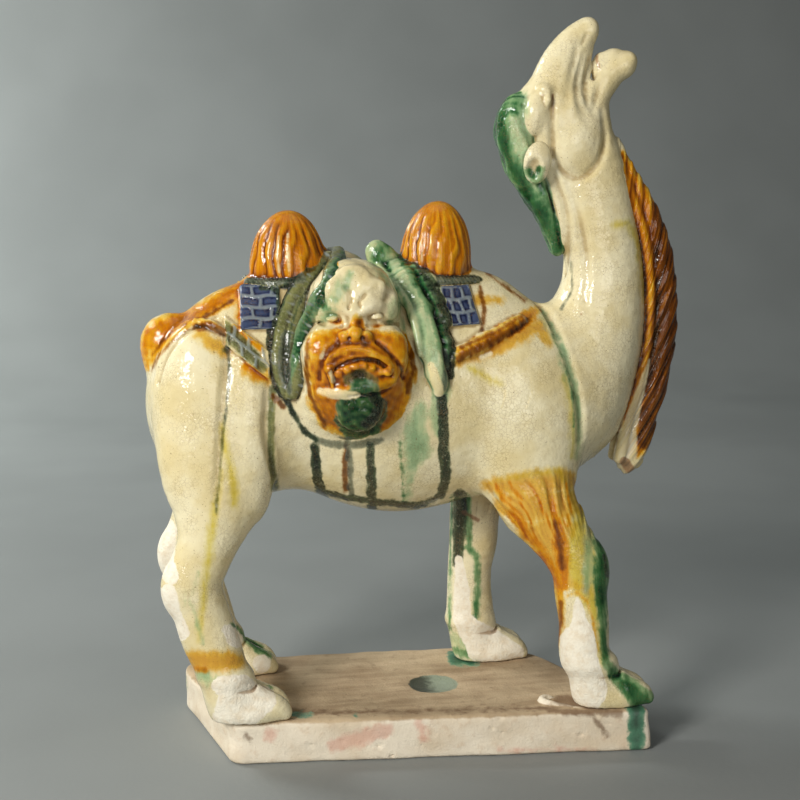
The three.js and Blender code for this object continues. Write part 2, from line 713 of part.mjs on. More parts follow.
function thinned({ places, faces }, wanted) {
  const p = Float64Array.from(places);
  const f = Int32Array.from(faces);
  const count = p.length / 3;
  const q = new Float64Array(count * quadricSize);
  const around = Array.from({ length: count }, () => []);
  const age = new Int32Array(count);
  const gone = new Uint8Array(f.length / 3);
  const heap = new Heap();

  const normalAt = (face, moved, spot) => {
    const c = [0, 1, 2].map((k) => {
      const v = f[face * 3 + k];
      return moved.includes(v) ? spot : [p[v * 3], p[v * 3 + 1], p[v * 3 + 2]];
    });
    const [u, w] = [1, 2].map((k) => c[k].map((s, i) => s - c[0][i]));
    return [u[1] * w[2] - u[2] * w[1], u[2] * w[0] - u[0] * w[2], u[0] * w[1] - u[1] * w[0]];
  };
  for (let face = 0; face < gone.length; face++) {
    const n = normalAt(face, [], null);
    const size = Math.hypot(...n) || 1e-12;
    const flat = n.map((s) => s / size);
    const v0 = f[face * 3] * 3;
    const d = -(flat[0] * p[v0] + flat[1] * p[v0 + 1] + flat[2] * p[v0 + 2]);
    for (let k = 0; k < 3; k++) {
      addPlane(q, f[face * 3 + k], flat, d, size);
      around[f[face * 3 + k]].push(face);
    }
  }
  const neighbours = (v) => {
    const found = new Set();
    for (const face of around[v]) for (let k = 0; k < 3; k++) found.add(f[face * 3 + k]);
    found.delete(v);
    return found;
  };
  function offer(a, b) {
    const together = (_, k) => q[a * quadricSize + k] + q[b * quadricSize + k];
    const m = Array.from({ length: quadricSize }, together);
    const middle = [0, 1, 2].map((k) => (p[a * 3 + k] + p[b * 3 + k]) / 2);
    const edge = Math.hypot(...[0, 1, 2].map((k) => p[a * 3 + k] - p[b * 3 + k]));
    let spot = bestPoint(m);
    if (!spot || Math.hypot(...spot.map((s, k) => s - middle[k])) > 1.5 * edge) spot = middle;
    const cost = Math.max(foldCost(m, ...spot), 0) + 1e-5 * edge * edge;
    heap.push({ cost, a, b, spot, stamp: age[a] + age[b] });
  }
  for (let v = 0; v < count; v++) for (const n of neighbours(v)) if (n > v) offer(v, n);

  let left = gone.length;
  while (left > wanted && heap.items.length) {
    const { a, b, spot, stamp } = heap.pop();
    if (!around[a].length || !around[b].length || age[a] + age[b] !== stamp) continue;
    const [na, nb] = [neighbours(a), neighbours(b)];
    if (!na.has(b)) continue;
    if ([...na].filter((n) => nb.has(n)).length !== 2) continue;
    const kept = [...around[a], ...around[b]].filter((face) => {
      const has = [f[face * 3], f[face * 3 + 1], f[face * 3 + 2]];
      return !(has.includes(a) && has.includes(b));
    });
    const turnsOver = kept.some((face) => {
      const [was, is] = [normalAt(face, [], null), normalAt(face, [a, b], spot)];
      const [lw, li] = [Math.hypot(...was), Math.hypot(...is)];
      return was[0] * is[0] + was[1] * is[1] + was[2] * is[2] < 0.3 * lw * li || li < 0.02;
    });
    if (turnsOver) continue;
    for (const face of around[a]) {
      if (kept.includes(face)) continue;
      gone[face] = 1;
      left--;
      for (let k = 0; k < 3; k++) {
        const v = f[face * 3 + k];
        if (v !== a && v !== b) around[v] = around[v].filter((other) => other !== face);
      }
    }
    for (const face of kept) for (let k = 0; k < 3; k++) if (f[face * 3 + k] === b) f[face * 3 + k] = a;
    around[a] = kept;
    around[b] = [];
    p.set(spot, a * 3);
    for (let k = 0; k < quadricSize; k++) q[a * quadricSize + k] += q[b * quadricSize + k];
    age[a] += 1 + age[b];
    for (const n of neighbours(a)) offer(a, n);
  }
  return { places: p, faces: f.filter((_, i) => !gone[Math.floor(i / 3)]) };
}

function geometryOf({ places, faces }, scale) {
  const geometry = new THREE.BufferGeometry();
  const scaled = Array.from(places, (v) => v * scale);
  geometry.setAttribute("position", new THREE.Float32BufferAttribute(scaled, 3));
  geometry.setIndex(Array.from(faces));
  return geometry.toNonIndexed();
}

// The slab

// Plan corners, anticlockwise from the tail end on the near side, moved in from the edges by inset
function slabCorners(inset) {
  const [x, y] = [slabLength / 2, slabDepth / 2];
  const plan = [
    [-x + nearTailCorner[0], -y + nearTailCorner[1]],
    [x, -y],
    ...farHeadCorners.map(([inX, inY]) => [x - inX, y - inY]),
    [-x, y],
  ].map((corner) => new THREE.Vector2(...corner));
  const inward = (from, to) => new THREE.Vector2(from.y - to.y, to.x - from.x).normalize();
  return plan.map((here, i) => {
    const [before, after] = [plan.at(i - 1), plan[(i + 1) % plan.length]];
    const [n1, n2] = [inward(before, here), inward(here, after)];
    return here.clone().addScaledVector(n1.clone().add(n2), inset / (1 + n1.dot(n2)));
  });
}

// The same outline with its corners rounded off, at the height z
const cornerSteps = 5;
function slabRing(inset, z) {
  const plan = slabCorners(inset);
  return plan.flatMap((here, i) => {
    const radius = i === plan.length - 1 ? wornCornerRadius : slabCornerRadius;
    const [before, after] = [plan.at(i - 1), plan[(i + 1) % plan.length]].map((other) =>
      other.clone().sub(here).setLength(radius).add(here),
    );
    const bend = new THREE.QuadraticBezierCurve(before, here, after);
    return bend.getPoints(cornerSteps).map((point) => new THREE.Vector3(point.x, point.y, z));
  });
}

// Joins rings of equal length from the bottom up, and closes both ends with a fan
function loft(rings) {
  const count = rings[0].length;
  const points = rings.flat();
  const faces = [];
  rings.slice(1).forEach((_, level) => {
    for (let i = 0; i < count; i++) {
      const [low, lowNext] = [level * count + i, level * count + ((i + 1) % count)];
      faces.push(low, lowNext, lowNext + count, low, lowNext + count, low + count);
    }
  });
  for (const [first, turned] of [[0, true], [points.length - count, false]]) {
    const middle = new THREE.Vector3();
    for (let i = 0; i < count; i++) middle.addScaledVector(points[first + i], 1 / count);
    const hub = points.push(middle) - 1;
    for (let i = 0; i < count; i++) {
      const [here, next] = [first + i, first + ((i + 1) % count)];
      faces.push(hub, ...(turned ? [next, here] : [here, next]));
    }
  }
  const geometry = new THREE.BufferGeometry().setFromPoints(points);
  geometry.setIndex(faces);
  return geometry;
}

const wasm = await Module();
wasm.setup();

function solid(geometry) {
  const bare = geometry.clone();
  bare.deleteAttribute("normal");
  bare.deleteAttribute("uv");
  const merged = mergeVertices(bare, 1e-4);
  return new wasm.Manifold(
    new wasm.Mesh({
      numProp: 3,
      vertProperties: merged.attributes.position.array,
      triVerts: new Uint32Array(merged.index.array),
    }),
  );
}

function geometryFrom(manifold) {
  const mesh = manifold.getMesh();
  const geometry = new THREE.BufferGeometry();
  geometry.setAttribute("position", new THREE.Float32BufferAttribute(mesh.vertProperties, 3));
  geometry.setIndex(Array.from(mesh.triVerts));
  return geometry.toNonIndexed();
}

function slabGeometry() {
  const top = slabThickness;
  const body = loft([
    slabRing(slabEdgeRound, 0),
    slabRing(slabEdgeRound * 0.3, slabEdgeRound * 0.3),
    slabRing(0, slabEdgeRound),
    slabRing(0, top - slabEdgeRound),
    slabRing(slabEdgeRound * 0.3, top - slabEdgeRound * 0.3),
    slabRing(slabEdgeRound, top),
  ]);
  const sphereRadius = (dishRadius * dishRadius + dishDepth * dishDepth) / (2 * dishDepth);
  const dish = new THREE.SphereGeometry(sphereRadius, 48, 48);
  dish.translate(camelForward + dishForward, camelAside + dishAside, top - dishDepth + sphereRadius);
  return geometryFrom(solid(body).subtract(solid(dish)));
}

// The two pieces
const group = new THREE.Group();

const glaze = new THREE.MeshStandardMaterial({ color: 0xd9cba4, roughness: 0.22, metalness: 0 });
const skin = thinned(skinOf(camel, drawnBox, gridStep), skinTriangles);
const camelMesh = new THREE.Mesh(geometryOf(skin, unit), glaze);
camelMesh.name = "camel";
camelMesh.position.set(camelForward, camelAside, slabThickness + soleGap);
group.add(camelMesh);

const biscuit = new THREE.MeshStandardMaterial({ color: 0xe0d0b4, roughness: 0.85, metalness: 0 });
const slabMesh = new THREE.Mesh(slabGeometry(), biscuit);
slabMesh.name = "plinth";
group.add(slabMesh);

export default group;
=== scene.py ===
"""The camel figure in the studio: its skin at full relief, its glazes, the hand-cut slab and the light.

Forms are drawn in millimetres in the camel's own frame, where the soles are at z = 0, +X runs
towards the head and +Y to the camel's left. Objects are in metres in the row frame.
"""

import math
from concurrent.futures import ThreadPoolExecutor

import bpy
import numpy as np
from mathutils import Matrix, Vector


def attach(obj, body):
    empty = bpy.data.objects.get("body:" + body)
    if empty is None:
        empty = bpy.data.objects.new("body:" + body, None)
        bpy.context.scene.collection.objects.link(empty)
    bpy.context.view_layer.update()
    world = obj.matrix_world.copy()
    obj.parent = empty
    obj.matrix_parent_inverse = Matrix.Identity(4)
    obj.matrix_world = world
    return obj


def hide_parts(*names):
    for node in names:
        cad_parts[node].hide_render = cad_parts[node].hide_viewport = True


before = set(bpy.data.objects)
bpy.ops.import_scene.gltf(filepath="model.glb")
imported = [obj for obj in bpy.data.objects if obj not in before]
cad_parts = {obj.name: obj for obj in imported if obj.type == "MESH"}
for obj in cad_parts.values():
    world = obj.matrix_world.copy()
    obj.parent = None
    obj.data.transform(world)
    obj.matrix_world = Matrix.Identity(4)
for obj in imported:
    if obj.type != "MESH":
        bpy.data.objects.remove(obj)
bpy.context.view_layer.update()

# Sizes: the boxes hold the camel in its drawn frame and the slab in the row frame

MM = 0.001
SLAB_THICKNESS = 22.0
SOLE_GAP = 0.3
CAMEL_AT = (10.944, 2.052, SLAB_THICKNESS + SOLE_GAP)
DRAWN_LOW, DRAWN_HIGH = (-150.0, -62.0, -1.0), (137.0, 62.0, 346.0)
SLAB_LOW, SLAB_HIGH = (-119.0, -61.0, -1.5), (119.0, 61.0, 24.0)
SKIN_STEP = 0.9
SLAB_STEP = 1.25

# The camera of the photograph
CAMERA_AT = (-140.40, -739.08, 305.54)
CAMERA_YAW, CAMERA_PITCH = math.radians(10.5), math.radians(9.966)
FOCAL_PIXELS, PICTURE = 1500.0, 800.0


# Fields: each takes points as three rows and gives about how far outside the clay they are

TRUNK_FILLET = 24.0
# The widest blend: a form farther off than this needs no exact distance
REACH = TRUNK_FILLET
# Fine relief is worked out for points this near their form
RELIEF_REACH = 4.0
FAR_OFF = 1e3


def blend(a, b, soft):
    """Both forms as one, with a fillet where they meet."""
    h = np.maximum(soft - np.abs(a - b), 0.0) / soft
    return np.minimum(a, b) - h * h * (soft / 4)


def carve(a, tool, soft):
    return -blend(-a, tool, soft)


def cut_to(a, b, soft):
    """Only what lies in both forms."""
    return -blend(-a, -b, soft)


def smooth_step(low, high, v):
    t = np.clip((v - low) / (high - low), 0.0, 1.0)
    return t * t * (3 - 2 * t)


def ball(at, r, lean=0.0):
    """An ellipsoid with radii r about the point at; lean tips its top towards +X."""
    centre = np.array(at, np.float32)[:, None]
    cl, sl = math.cos(lean), math.sin(lean)

    def field(p):
        d = p - centre
        far = np.sqrt((d * d).sum(0)) - max(r)
        near = np.flatnonzero(far < REACH)
        if near.size:
            x, y, z = d[:, near]
            u = (x * cl - z * sl) / r[0]
            v = y / r[1]
            w = (x * sl + z * cl) / r[2]
            k0 = np.sqrt(u * u + v * v + w * w)
            k1 = np.sqrt((u / r[0]) ** 2 + (v / r[1]) ** 2 + (w / r[2]) ** 2)
            far[near] = k0 * (k0 - 1) / np.maximum(k1, 1e-6)
        return far

    return field


def spline(stations, pieces):
    """A smooth curve through the stations, as short straight pieces."""
    s = np.array(stations, float)
    padded = np.concatenate([s[:1], s, s[-1:]])
    points = []
    for i in range(len(s) - 1):
        a, b, c, d = padded[i : i + 4]
        for j in range(pieces):
            t = j / pieces
            square = 2 * a - 5 * b + 4 * c - d
            cube = 3 * (b - c) + d - a
            points.append(b + 0.5 * t * (c - a + t * (square + t * cube)))
    points.append(s[-1])
    return np.array(points, np.float32)


def limb(stations, pieces=4):
    """A limb through stations (x, y, z, half thickness seen from the side, half width across)."""
    points = spline(stations, pieces)
    widest = points[:, 3:].max(1, keepdims=True)
    low = (points[:, :3] - widest).min(0)[:, None]
    high = (points[:, :3] + widest).max(0)[:, None]

    def field(p):
        outside = np.maximum(0, np.maximum(low - p, p - high))
        far = np.sqrt((outside * outside).sum(0))
        near = np.flatnonzero(far < REACH)
        if not near.size:
            return far
        x, y, z = p[:, near]
        least = np.full(near.size, FAR_OFF, np.float32)
        for a, b in zip(points[:-1], points[1:]):
            ax, ay, az = b[:3] - a[:3]
            dx, dy, dz = x - a[0], y - a[1], z - a[2]
            t = np.clip((dx * ax + dy * ay + dz * az) / (ax * ax + ay * ay + az * az), 0, 1)
            thick = a[3] + t * (b[3] - a[3])
            wide = a[4] + t * (b[4] - a[4])
            dx -= t * ax
            dy = (dy - t * ay) * thick / wide
            dz -= t * az
            d = (np.sqrt(dx * dx + dy * dy + dz * dz) - thick) * np.minimum(1, wide / thick)
            np.minimum(least, d, out=least)
        far[near] = least
        return far

    return field


def joined(pieces):
    """Each piece is blended into what the list has built so far."""

    def field(p):
        d = pieces[0][0](p)
        for piece, soft in pieces[1:]:
            d = blend(d, piece(p), soft)
        return d

    return field


def both_sides(field):
    return lambda p: field(np.stack([p[0], np.abs(p[1]), p[2]]))


def worked(d, p, steps):
    """Blends forms onto the clay or carves them out of it, in order, each with its softness."""
    for work, form, soft in steps:
        d = work(d, form(p), soft)
    return d


# A place beside the camel, and how often the way from there to its middle is halved
BESIDE = 70.0
HALVINGS = 24


def on_side(field, path, start=0.0):
    """Lays a path of (x, z) or (x, z, lift) on a field's left side, found outwards from y = start."""
    x, z, lift = np.array([(*step, 0.0)[:3] for step in path], np.float32).T
    inner, outer = np.full_like(x, start), np.full_like(x, BESIDE)
    bare = field(np.stack([x, inner, z])) > 0
    for _ in range(HALVINGS):
        middle = (inner + outer) / 2
        out = field(np.stack([x, middle, z])) > 0
        outer = np.where(out, middle, outer)
        inner = np.where(out, inner, middle)
    y = np.where(bare, 0, inner + lift)
    return list(zip(x.tolist(), y.tolist(), z.tolist()))


def waves(p, length, seed, count=9):
    """A smooth random field of about unit size, with that wavelength."""
    rng = np.random.default_rng(seed)
    total = np.zeros(p.shape[1], np.float32)
    for _ in range(count):
        way = rng.normal(size=3)
        way *= 2 * math.pi / (length * rng.uniform(0.7, 1.5)) / np.linalg.norm(way)
        total += np.sin(p[0] * way[0] + p[1] * way[1] + p[2] * way[2] + rng.uniform(0, 6.28))
    return total / math.sqrt(count)


# The camel's body

trunk = joined([
    (ball([44, 0, 150], [49, 35, 50]), 1),
    (ball([-30, 0, 159], [76, 38, 57]), TRUNK_FILLET),
    (ball([-12, 0, 143], [50, 31, 48]), 20),
    (ball([-99, 0, 153], [43, 35, 50]), 18),
    (ball([19, 0, 175], [41, 24, 42]), 8),
    (ball([-90, 0, 170], [38, 28, 42]), 8),
    (both_sides(ball([46, 19, 143], [30, 20, 43], -0.12)), 7),
    (both_sides(ball([-114.5, 16, 150], [22.5, 21, 46], -0.05)), 7),
    (both_sides(ball([-93, 27, 142], [11.5, 12, 41], -0.04)), 4),
    (both_sides(ball([-119, 12, 166], [15, 12, 26], -0.2)), 4),
])

tail = limb([
    [-104, 0, 193, 7, 9],
    [-120, 0, 189, 8.5, 10],
    [-131.5, 0, 186, 11, 11.5],
    [-134.6, 0, 176, 8.4, 10],
    [-134, 0, 164, 5, 6.5],
    [-133, 0, 152, 3, 4],
])

TOE_REACH = 12.0


def foot(x, y):
    """A heel, a low broad pad, two toes with a cleft between them and a cuff of skin above."""

    def toe(side):
        return limb([
            [x + 12, y + 5 * side, 11, 5.5, 5],
            [x + 23, y + 6 * side, 6.5, 5.6, 5.6],
            [x + 28, y + 6 * side, 3, 3.6, 4.4],
        ])

    pads = joined([
        (ball([x + 1, y, 9], [11, 11, 13]), 1),
        (ball([x + TOE_REACH, y, 4], [19, 13, 9]), 5),
        (ball([x + TOE_REACH - 4, y, 12], [12, 9, 9], 0.5), 6),
        (toe(-1), 3),
        (toe(1), 3),
        (ball([x, y, 22], [12.8, 11.8, 5]), 4),
    ])
    cleft = limb([
        [x + TOE_REACH + 2, y, 19, 1.3, 1.3],
        [x + TOE_REACH + 15, y, 10, 1.8, 1.8],
        [x + TOE_REACH + 20, y, -3, 2, 2],
    ])
    half = [(-8, 12, 17.4, 1.2), (4, 11.2, 16.6, 1.9), (12, 8, 16.4, 1.2)]
    ring = [(u, -v, w, r) for u, v, w, r in half] + [(14, 0, 17.4, 0.8)] + half[::-1]
    ankle = limb([[x + u, y + v, w, r, r] for u, v, w, r in ring])
    return lambda p: carve(carve(pads(p), cleft(p), 2), ankle(p), 2)


HIND_LEG = [
    [-100, 15, 150, 28, 20],
    [-110, 23, 126, 26, 18],
    [-110, 27, 108, 21, 15.5],
    [-113.5, 29, 92, 15.6, 13],
    [-118, 30, 80, 14, 12],
    [-122, 31, 69, 14, 11.8],
    [-119, 31, 56, 13.6, 11.3],
    [-115, 31.5, 42, 13.8, 11.2],
    [-110.5, 32, 29, 12.8, 11.4],
    [-107, 33, 17, 12, 11.5],
]
NEAR_FORE_LEG = [
    [46, 20, 132, 26, 17],
    [50, 26, 106, 21, 15.5],
    [59, 30, 90, 16.5, 13.5],
    [66, 33, 79, 14.5, 12.5],
    [71.5, 36, 68, 14.2, 12],
    [72, 38.5, 55, 13.3, 11.2],
    [73, 41.5, 42, 12.8, 11],
    [72.4, 44, 30, 12.8, 11.5],
    [73, 45, 24, 12.2, 11.4],
    [76, 45.5, 19, 11.6, 11],
]
FAR_FORE_LEG = [
    [44, 20, 132, 25, 17],
    [38, 25, 106, 17, 14],
    [33, 28, 88, 14, 12.5],
    [32, 30, 68, 13, 11.8],
    [30.5, 31, 52, 12, 10.5],
    [30.5, 32, 38, 12.2, 10.6],
    [31, 32, 28, 12.8, 11.5],
    [31, 32, 18, 11.5, 11],
]


def leg(stations, side):
    """side is -1 for the camel's right legs and 1 for its left."""
    placed = [[x, side * y, *rest] for x, y, *rest in stations]
    return joined([(limb(placed), 1), (foot(*placed[-1][:2]), 5)])


# The hair of each forearm is combed towards a point (x, z) in the shin below it
NEAR_SHIN = (76.0, 40.0)
FAR_SHIN = (31.0, 30.0)
# The angles about that point from lock to lock and from strand to strand
LOCK_TURN, STRAND_TURN = 0.105, 0.041


def about_shin(p):
    x, y, z = p
    shin_x = np.where(y < 0, NEAR_SHIN[0], FAR_SHIN[0])
    shin_z = np.where(y < 0, NEAR_SHIN[1], FAR_SHIN[1])
    return np.arctan2(x - shin_x, z - shin_z)


def fore_hair(p):
    """The long hair on the forearms."""
    x, y, z = p
    where = smooth_step(76, 96, z) * smooth_step(128, 108, z) * smooth_step(14, 24, x)
    near = np.flatnonzero(where > 0)
    rise = np.zeros_like(x)
    if near.size:
        q = p[:, near]
        angle = about_shin(q) + 0.02 * waves(q, 26, 41, 6)
        uneven = smooth_step(-1.1, 1.3, waves(q, 17, 42, 6))
        locks = np.cos(2 * math.pi * angle / LOCK_TURN)
        strands = np.cos(2 * math.pi * (angle + 0.004 * np.sin(q[2] * 0.31)) / STRAND_TURN)
        rise[near] = (0.55 * locks * uneven + 0.13 * strands) * where[near]
    return rise


# Neck and head

neck = limb([
    [78, 0, 288, 15.2, 12.5],
    [84, 0, 264, 19, 14],
    [88, 0, 243, 20, 15.5],
    [92, 0, 222, 20.5, 17],
    [92, 0, 204, 22, 19],
    [88, 0, 186, 26, 22],
    [80, 0, 168, 31, 26],
    [70, 0, 150, 36, 30],
])
nape = limb([
    [52, 0, 302, 5, 6],
    [61, 0, 296, 11, 10.5],
    [65, 0, 270, 9.5, 10.5],
    [70, 0, 250, 8, 9.5],
    [74, 0, 232, 6, 8],
])
skull = joined([
    (limb([
        [62, 0, 292, 16, 12.5],
        [66, 0, 306, 14.5, 11],
        [70, 0, 318, 12.6, 9.5],
        [75, 0, 328, 9.6, 8],
        [80, 0, 335.6, 6, 6.8],
        [81.2, 0, 337.5, 4.3, 6],
    ]), 1),
    (ball([82.5, 0, 335.5], [4, 7.4, 5]), 3),
])
jaw = limb([
    [80, 0, 292, 11.4, 9.5],
    [85, 0, 303, 8.6, 8],
    [92, 0, 312.6, 7.6, 7.6],
    [98.6, 0, 318.6, 6.4, 8],
    [102.4, 0, 321.2, 4.2, 7.6],
])
chin = ball([101, 0, 318.6], [5.8, 7.4, 6.2])
mouth = limb([
    [83.5, 0, 312, 1.4, 9],
    [87, 0, 320, 1.8, 10],
    [89.2, 0, 328, 2.4, 10],
    [91, 0, 337, 4.6, 10],
])
tongue = joined([
    (ball([88.5, 0, 316.5], [4.6, 4.6, 8.2]), 1),
    (ball([95.6, 0, 320], [7.4, 6.2, 7]), 3),
])

head_sides = both_sides(joined([
    (ball([74.4, 8.6, 280.6], [12, 7.4, 15], 0.12), 1),
    (ball([71, 8.6, 296], [7, 5.4, 10], 0.2), 3),
    (ball([52.5, 9, 294], [5.6, 5, 10], 0.15), 3),
    (ball([58, 9, 305], [5, 4, 3.6], 0.6), 2),
    (ball([58.6, 12.2, 300.8], [2.9, 2.6, 3.2]), 0.8),
]))
ears = both_sides(ball([52.8, 13.4, 270.5], [7, 3.8, 10.6], 0.15))
ear_hollows = both_sides(ball([49.4, 18, 266], [5, 4.6, 7.6], 0.25))


def furrow(path, radius):
    return limb([[*point, radius, radius] for point in path])


def fold_in(field, radius, depth, path):
    """A crease whose depth is a share of its radius, fading out at both ends."""
    lifts = [1.3, *[1 - depth] * (len(path) - 2), 1.3]
    steps = [(*step, lift * radius) for step, lift in zip(path, lifts)]
    return (furrow(on_side(field, steps), radius), 0.5)


face = joined([(neck, 1), (nape, 4), (skull, 6), (jaw, 6), (chin, 3), (head_sides, 2.5)])
shoulder = joined([(trunk, 1), (neck, 9)])
rump = joined([(trunk, 1), (tail, 3)])
haunch = joined([(trunk, 1), (leg(HIND_LEG, 1), 9)])
folds = both_sides(joined([
    fold_in(face, 1.8, 0.4, [(75, 331), (73, 322), (71.5, 315), (67, 300)]),
    fold_in(face, 2, 0.6, [(78, 324), (74.6, 311), (74, 301), (78.4, 291)]),
    fold_in(face, 1.7, 0.5, [(82, 320), (79, 310), (79.5, 300)]),
    fold_in(face, 1.7, 0.5, [(86.5, 310), (84.6, 304), (82, 297)]),
    fold_in(face, 1.5, 1.0, [(62, 306), (60.6, 298), (60.6, 288), (61.4, 277), (63, 264)]),
    fold_in(face, 1.7, 0.8, [(61.4, 278), (65.4, 267), (74.5, 262.6), (84, 269.6), (88.6, 282), (88, 296)]),
    fold_in(face, 1.7, 1.0, [(61, 270), (64.4, 260), (68.6, 249), (70.4, 236), (71.4, 214)]),
    fold_in(face, 1.8, 0.7, [(69, 260), (76, 240), (78.8, 222), (77, 202)]),
    fold_in(shoulder, 2.2, 0.3, [(58, 199), (63.3, 184), (67, 172), (70.5, 157.6), (73, 134)]),
    fold_in(rump, 2.2, 0.7, [(-109, 199), (-119, 194), (-127, 188), (-133, 179), (-137, 168)]),
    fold_in(
        haunch, 1.8, 0.35,
        [(-102, 190), (-104.3, 175), (-106.2, 160), (-107.6, 146), (-109, 132), (-111, 112)],
    ),
    fold_in(haunch, 2.2, 0.5, [(-83, 170), (-84.9, 156), (-85.6, 145), (-84.2, 135), (-81, 121)]),
]))
nostrils = both_sides(ball([77.6, 7.6, 330.4], [0.6, 0.5, 2.2], 0.5))

mane_body = limb([
    [46, 0, 296, 8, 9],
    [44, 0, 290, 9.4, 10],
    [46, 0, 277, 9.8, 10.5],
    [52.6, 0, 262, 8.6, 10],
    [60.2, 0, 247, 6, 7.6],
    [64.6, 0, 236, 5.2, 6.2],
    [67, 0, 227, 3.6, 4.5],
])


def mane(p):
    x, y, z = p
    lock = 0.45 * np.sin(0.7 * y + 0.16 * z) * np.cos(0.21 * z + 0.1 * x) + 0.4 * waves(p, 15, 51, 6)
    curl = 0.16 * np.sin(1.5 * y + 0.9 * x + 0.35 * z + np.sin(0.4 * z))
    return mane_body(p) + lock + curl


BEARD = [
    [97, 0, 281, 2.6, 4],
    [103, 0, 266, 5, 6],
    [109.5, 0, 254, 6.4, 7],
    [115, 0, 242, 7.4, 7.6],
    [119.5, 0, 229, 8.2, 8],
    [122, 0, 216, 8.8, 8.2],
    [123.5, 0, 203, 9, 8.2],
    [123.8, 0, 190, 9.2, 8.2],
    [123.2, 0, 178, 9.4, 8.2],
    [121, 0, 166, 9.6, 8],
    [118.4, 0, 153, 9.8, 7.6],
    [114.6, 0, 140, 9.6, 7],
    [112, 0, 127, 9.4, 6.6],
    [109.2, 0, 117, 8, 6],
    [108, 0, 110.6, 3.2, 4],
]
beard_body = limb(BEARD, 2)
beard_rib = both_sides(limb([[x - 0.86 * a, 0.78 * b, z, 3.2, 2.8] for x, _, z, a, b in BEARD[1:-1]]))


def beard_across(x, z):
    """Millimetres across the beard's strands, which sweep down and back more and more."""
    down = BEARD[0][2] - z
    return x + 0.09 * down + 0.00187 * down * down


def beard(p):
    body = beard_body(p)
    near = np.flatnonzero(body < RELIEF_REACH)
    if near.size:
        q = p[:, near]
        across = beard_across(q[0], q[2]) + 1.4 * waves(q, 34, 5, 5)
        locks = 0.3 * np.sin(2 * math.pi * across / 6.4)
        strands = 0.1 * np.sin(2 * math.pi * across / 2.7 + 1)
        body[near] += locks + strands
    return blend(body, beard_rib(p), 1.5)


# Humps: each has its (x, top, half length of its cap, lean)

HAIR_LOCKS = 18
CAP_RIM = 215.0
UNDER_CAP = 11.0
HUMP_FOOT = 196.0
DOME_WIDE, DOME_TALL = 16.8, 29.5
FRONT_HUMP = (4.0, 251.5, 17.8, 0.08)
REAR_HUMP = (-70.5, 247.5, 19.0, 0.02)


def hump_base(x):
    return ball([x - 1, 0, HUMP_FOOT], [25, 20, CAP_RIM + UNDER_CAP - HUMP_FOOT])


def hump(x, top, long, lean):
    """A smooth base and a cap of combed hair, with grooves of uneven depth between its locks."""
    base = hump_base(x)
    dome = ball([x, 0, top - DOME_TALL], [long, DOME_WIDE, DOME_TALL], lean)
    rng = np.random.default_rng(int(top))
    depths = rng.uniform(0.3, 1.0, HAIR_LOCKS) ** 1.4
    shifts = rng.uniform(-0.28, 0.28, HAIR_LOCKS)

    def field(p):
        body = dome(p)
        near = np.flatnonzero(body < RELIEF_REACH)
        if near.size:
            px, py, pz = p[:, near]
            around = np.arctan2(py, px - x - lean * (pz - top + DOME_TALL))
            turn = around / (2 * math.pi) * HAIR_LOCKS + 0.2 * np.sin(0.17 * pz + 3 * around)
            turn += 0.1 * np.sin(0.41 * pz + 7 * around)
            lock = np.mod(np.round(turn).astype(int), HAIR_LOCKS)
            off = turn - np.round(turn) + shifts[lock]
            out = np.hypot(px - x, py)
            pitch = np.maximum(out, 2.0) * 2 * math.pi / HAIR_LOCKS
            groove = depths[lock] * np.exp(-((off * pitch / 0.7) ** 2))
            swell = 0.22 * np.cos(2 * math.pi * turn)
            fade = smooth_step(top - 1, top - 11 - 6 * depths[lock], pz)
            body[near] += (groove + swell) * fade
        cap = carve(body, p[2] - CAP_RIM, 1.6)
        return blend(base(p), cap, 1.2)

    return field


humps = joined([(hump(*FRONT_HUMP), 1), (hump(*REAR_HUMP), 6)])
hump_slope = ball([-52, 0, 205], [16, 16, 22])

# The pack saddle

bundle = ball([-40, 0, 189], [23, 32, 34])
bag = joined([
    (ball([-41, 27, 166], [33, 21, 30]), 1),
    (ball([-42, 26, 198], [23, 21, 27]), 12),
])

# How far forward the middle of the mask is
MASK_X = -43.5


def mirrored(field):
    """A form on both sides of the mask's middle."""
    return lambda p: field(np.stack([np.abs(p[0] - MASK_X), p[1], p[2]]))


mask_base = joined([
    (bag, 1),
    (ball([MASK_X, 33, 173], [26, 22, 31]), 1.5),
    (ball([MASK_X + 0.5, 34, 208.5], [18, 13.5, 15.5]), 7),
    (mirrored(ball([15.5, 43.5, 182], [10, 9.5, 12.5])), 5),
    (ball([MASK_X, 47, 181], [13, 8, 9]), 5),
    (ball([MASK_X + 1, 47.4, 157], [12, 8.6, 12.5]), 2.5),
])


def on_face(path):
    return on_side(mask_base, path, 34.0)


def on_mask(x, z, radii, off=0.0):
    """An ellipsoid set on the mask's face."""
    return ball(on_face([(x, z, off)])[0], radii)


def mask_line(points, radius):
    return furrow(on_face(points), radius)


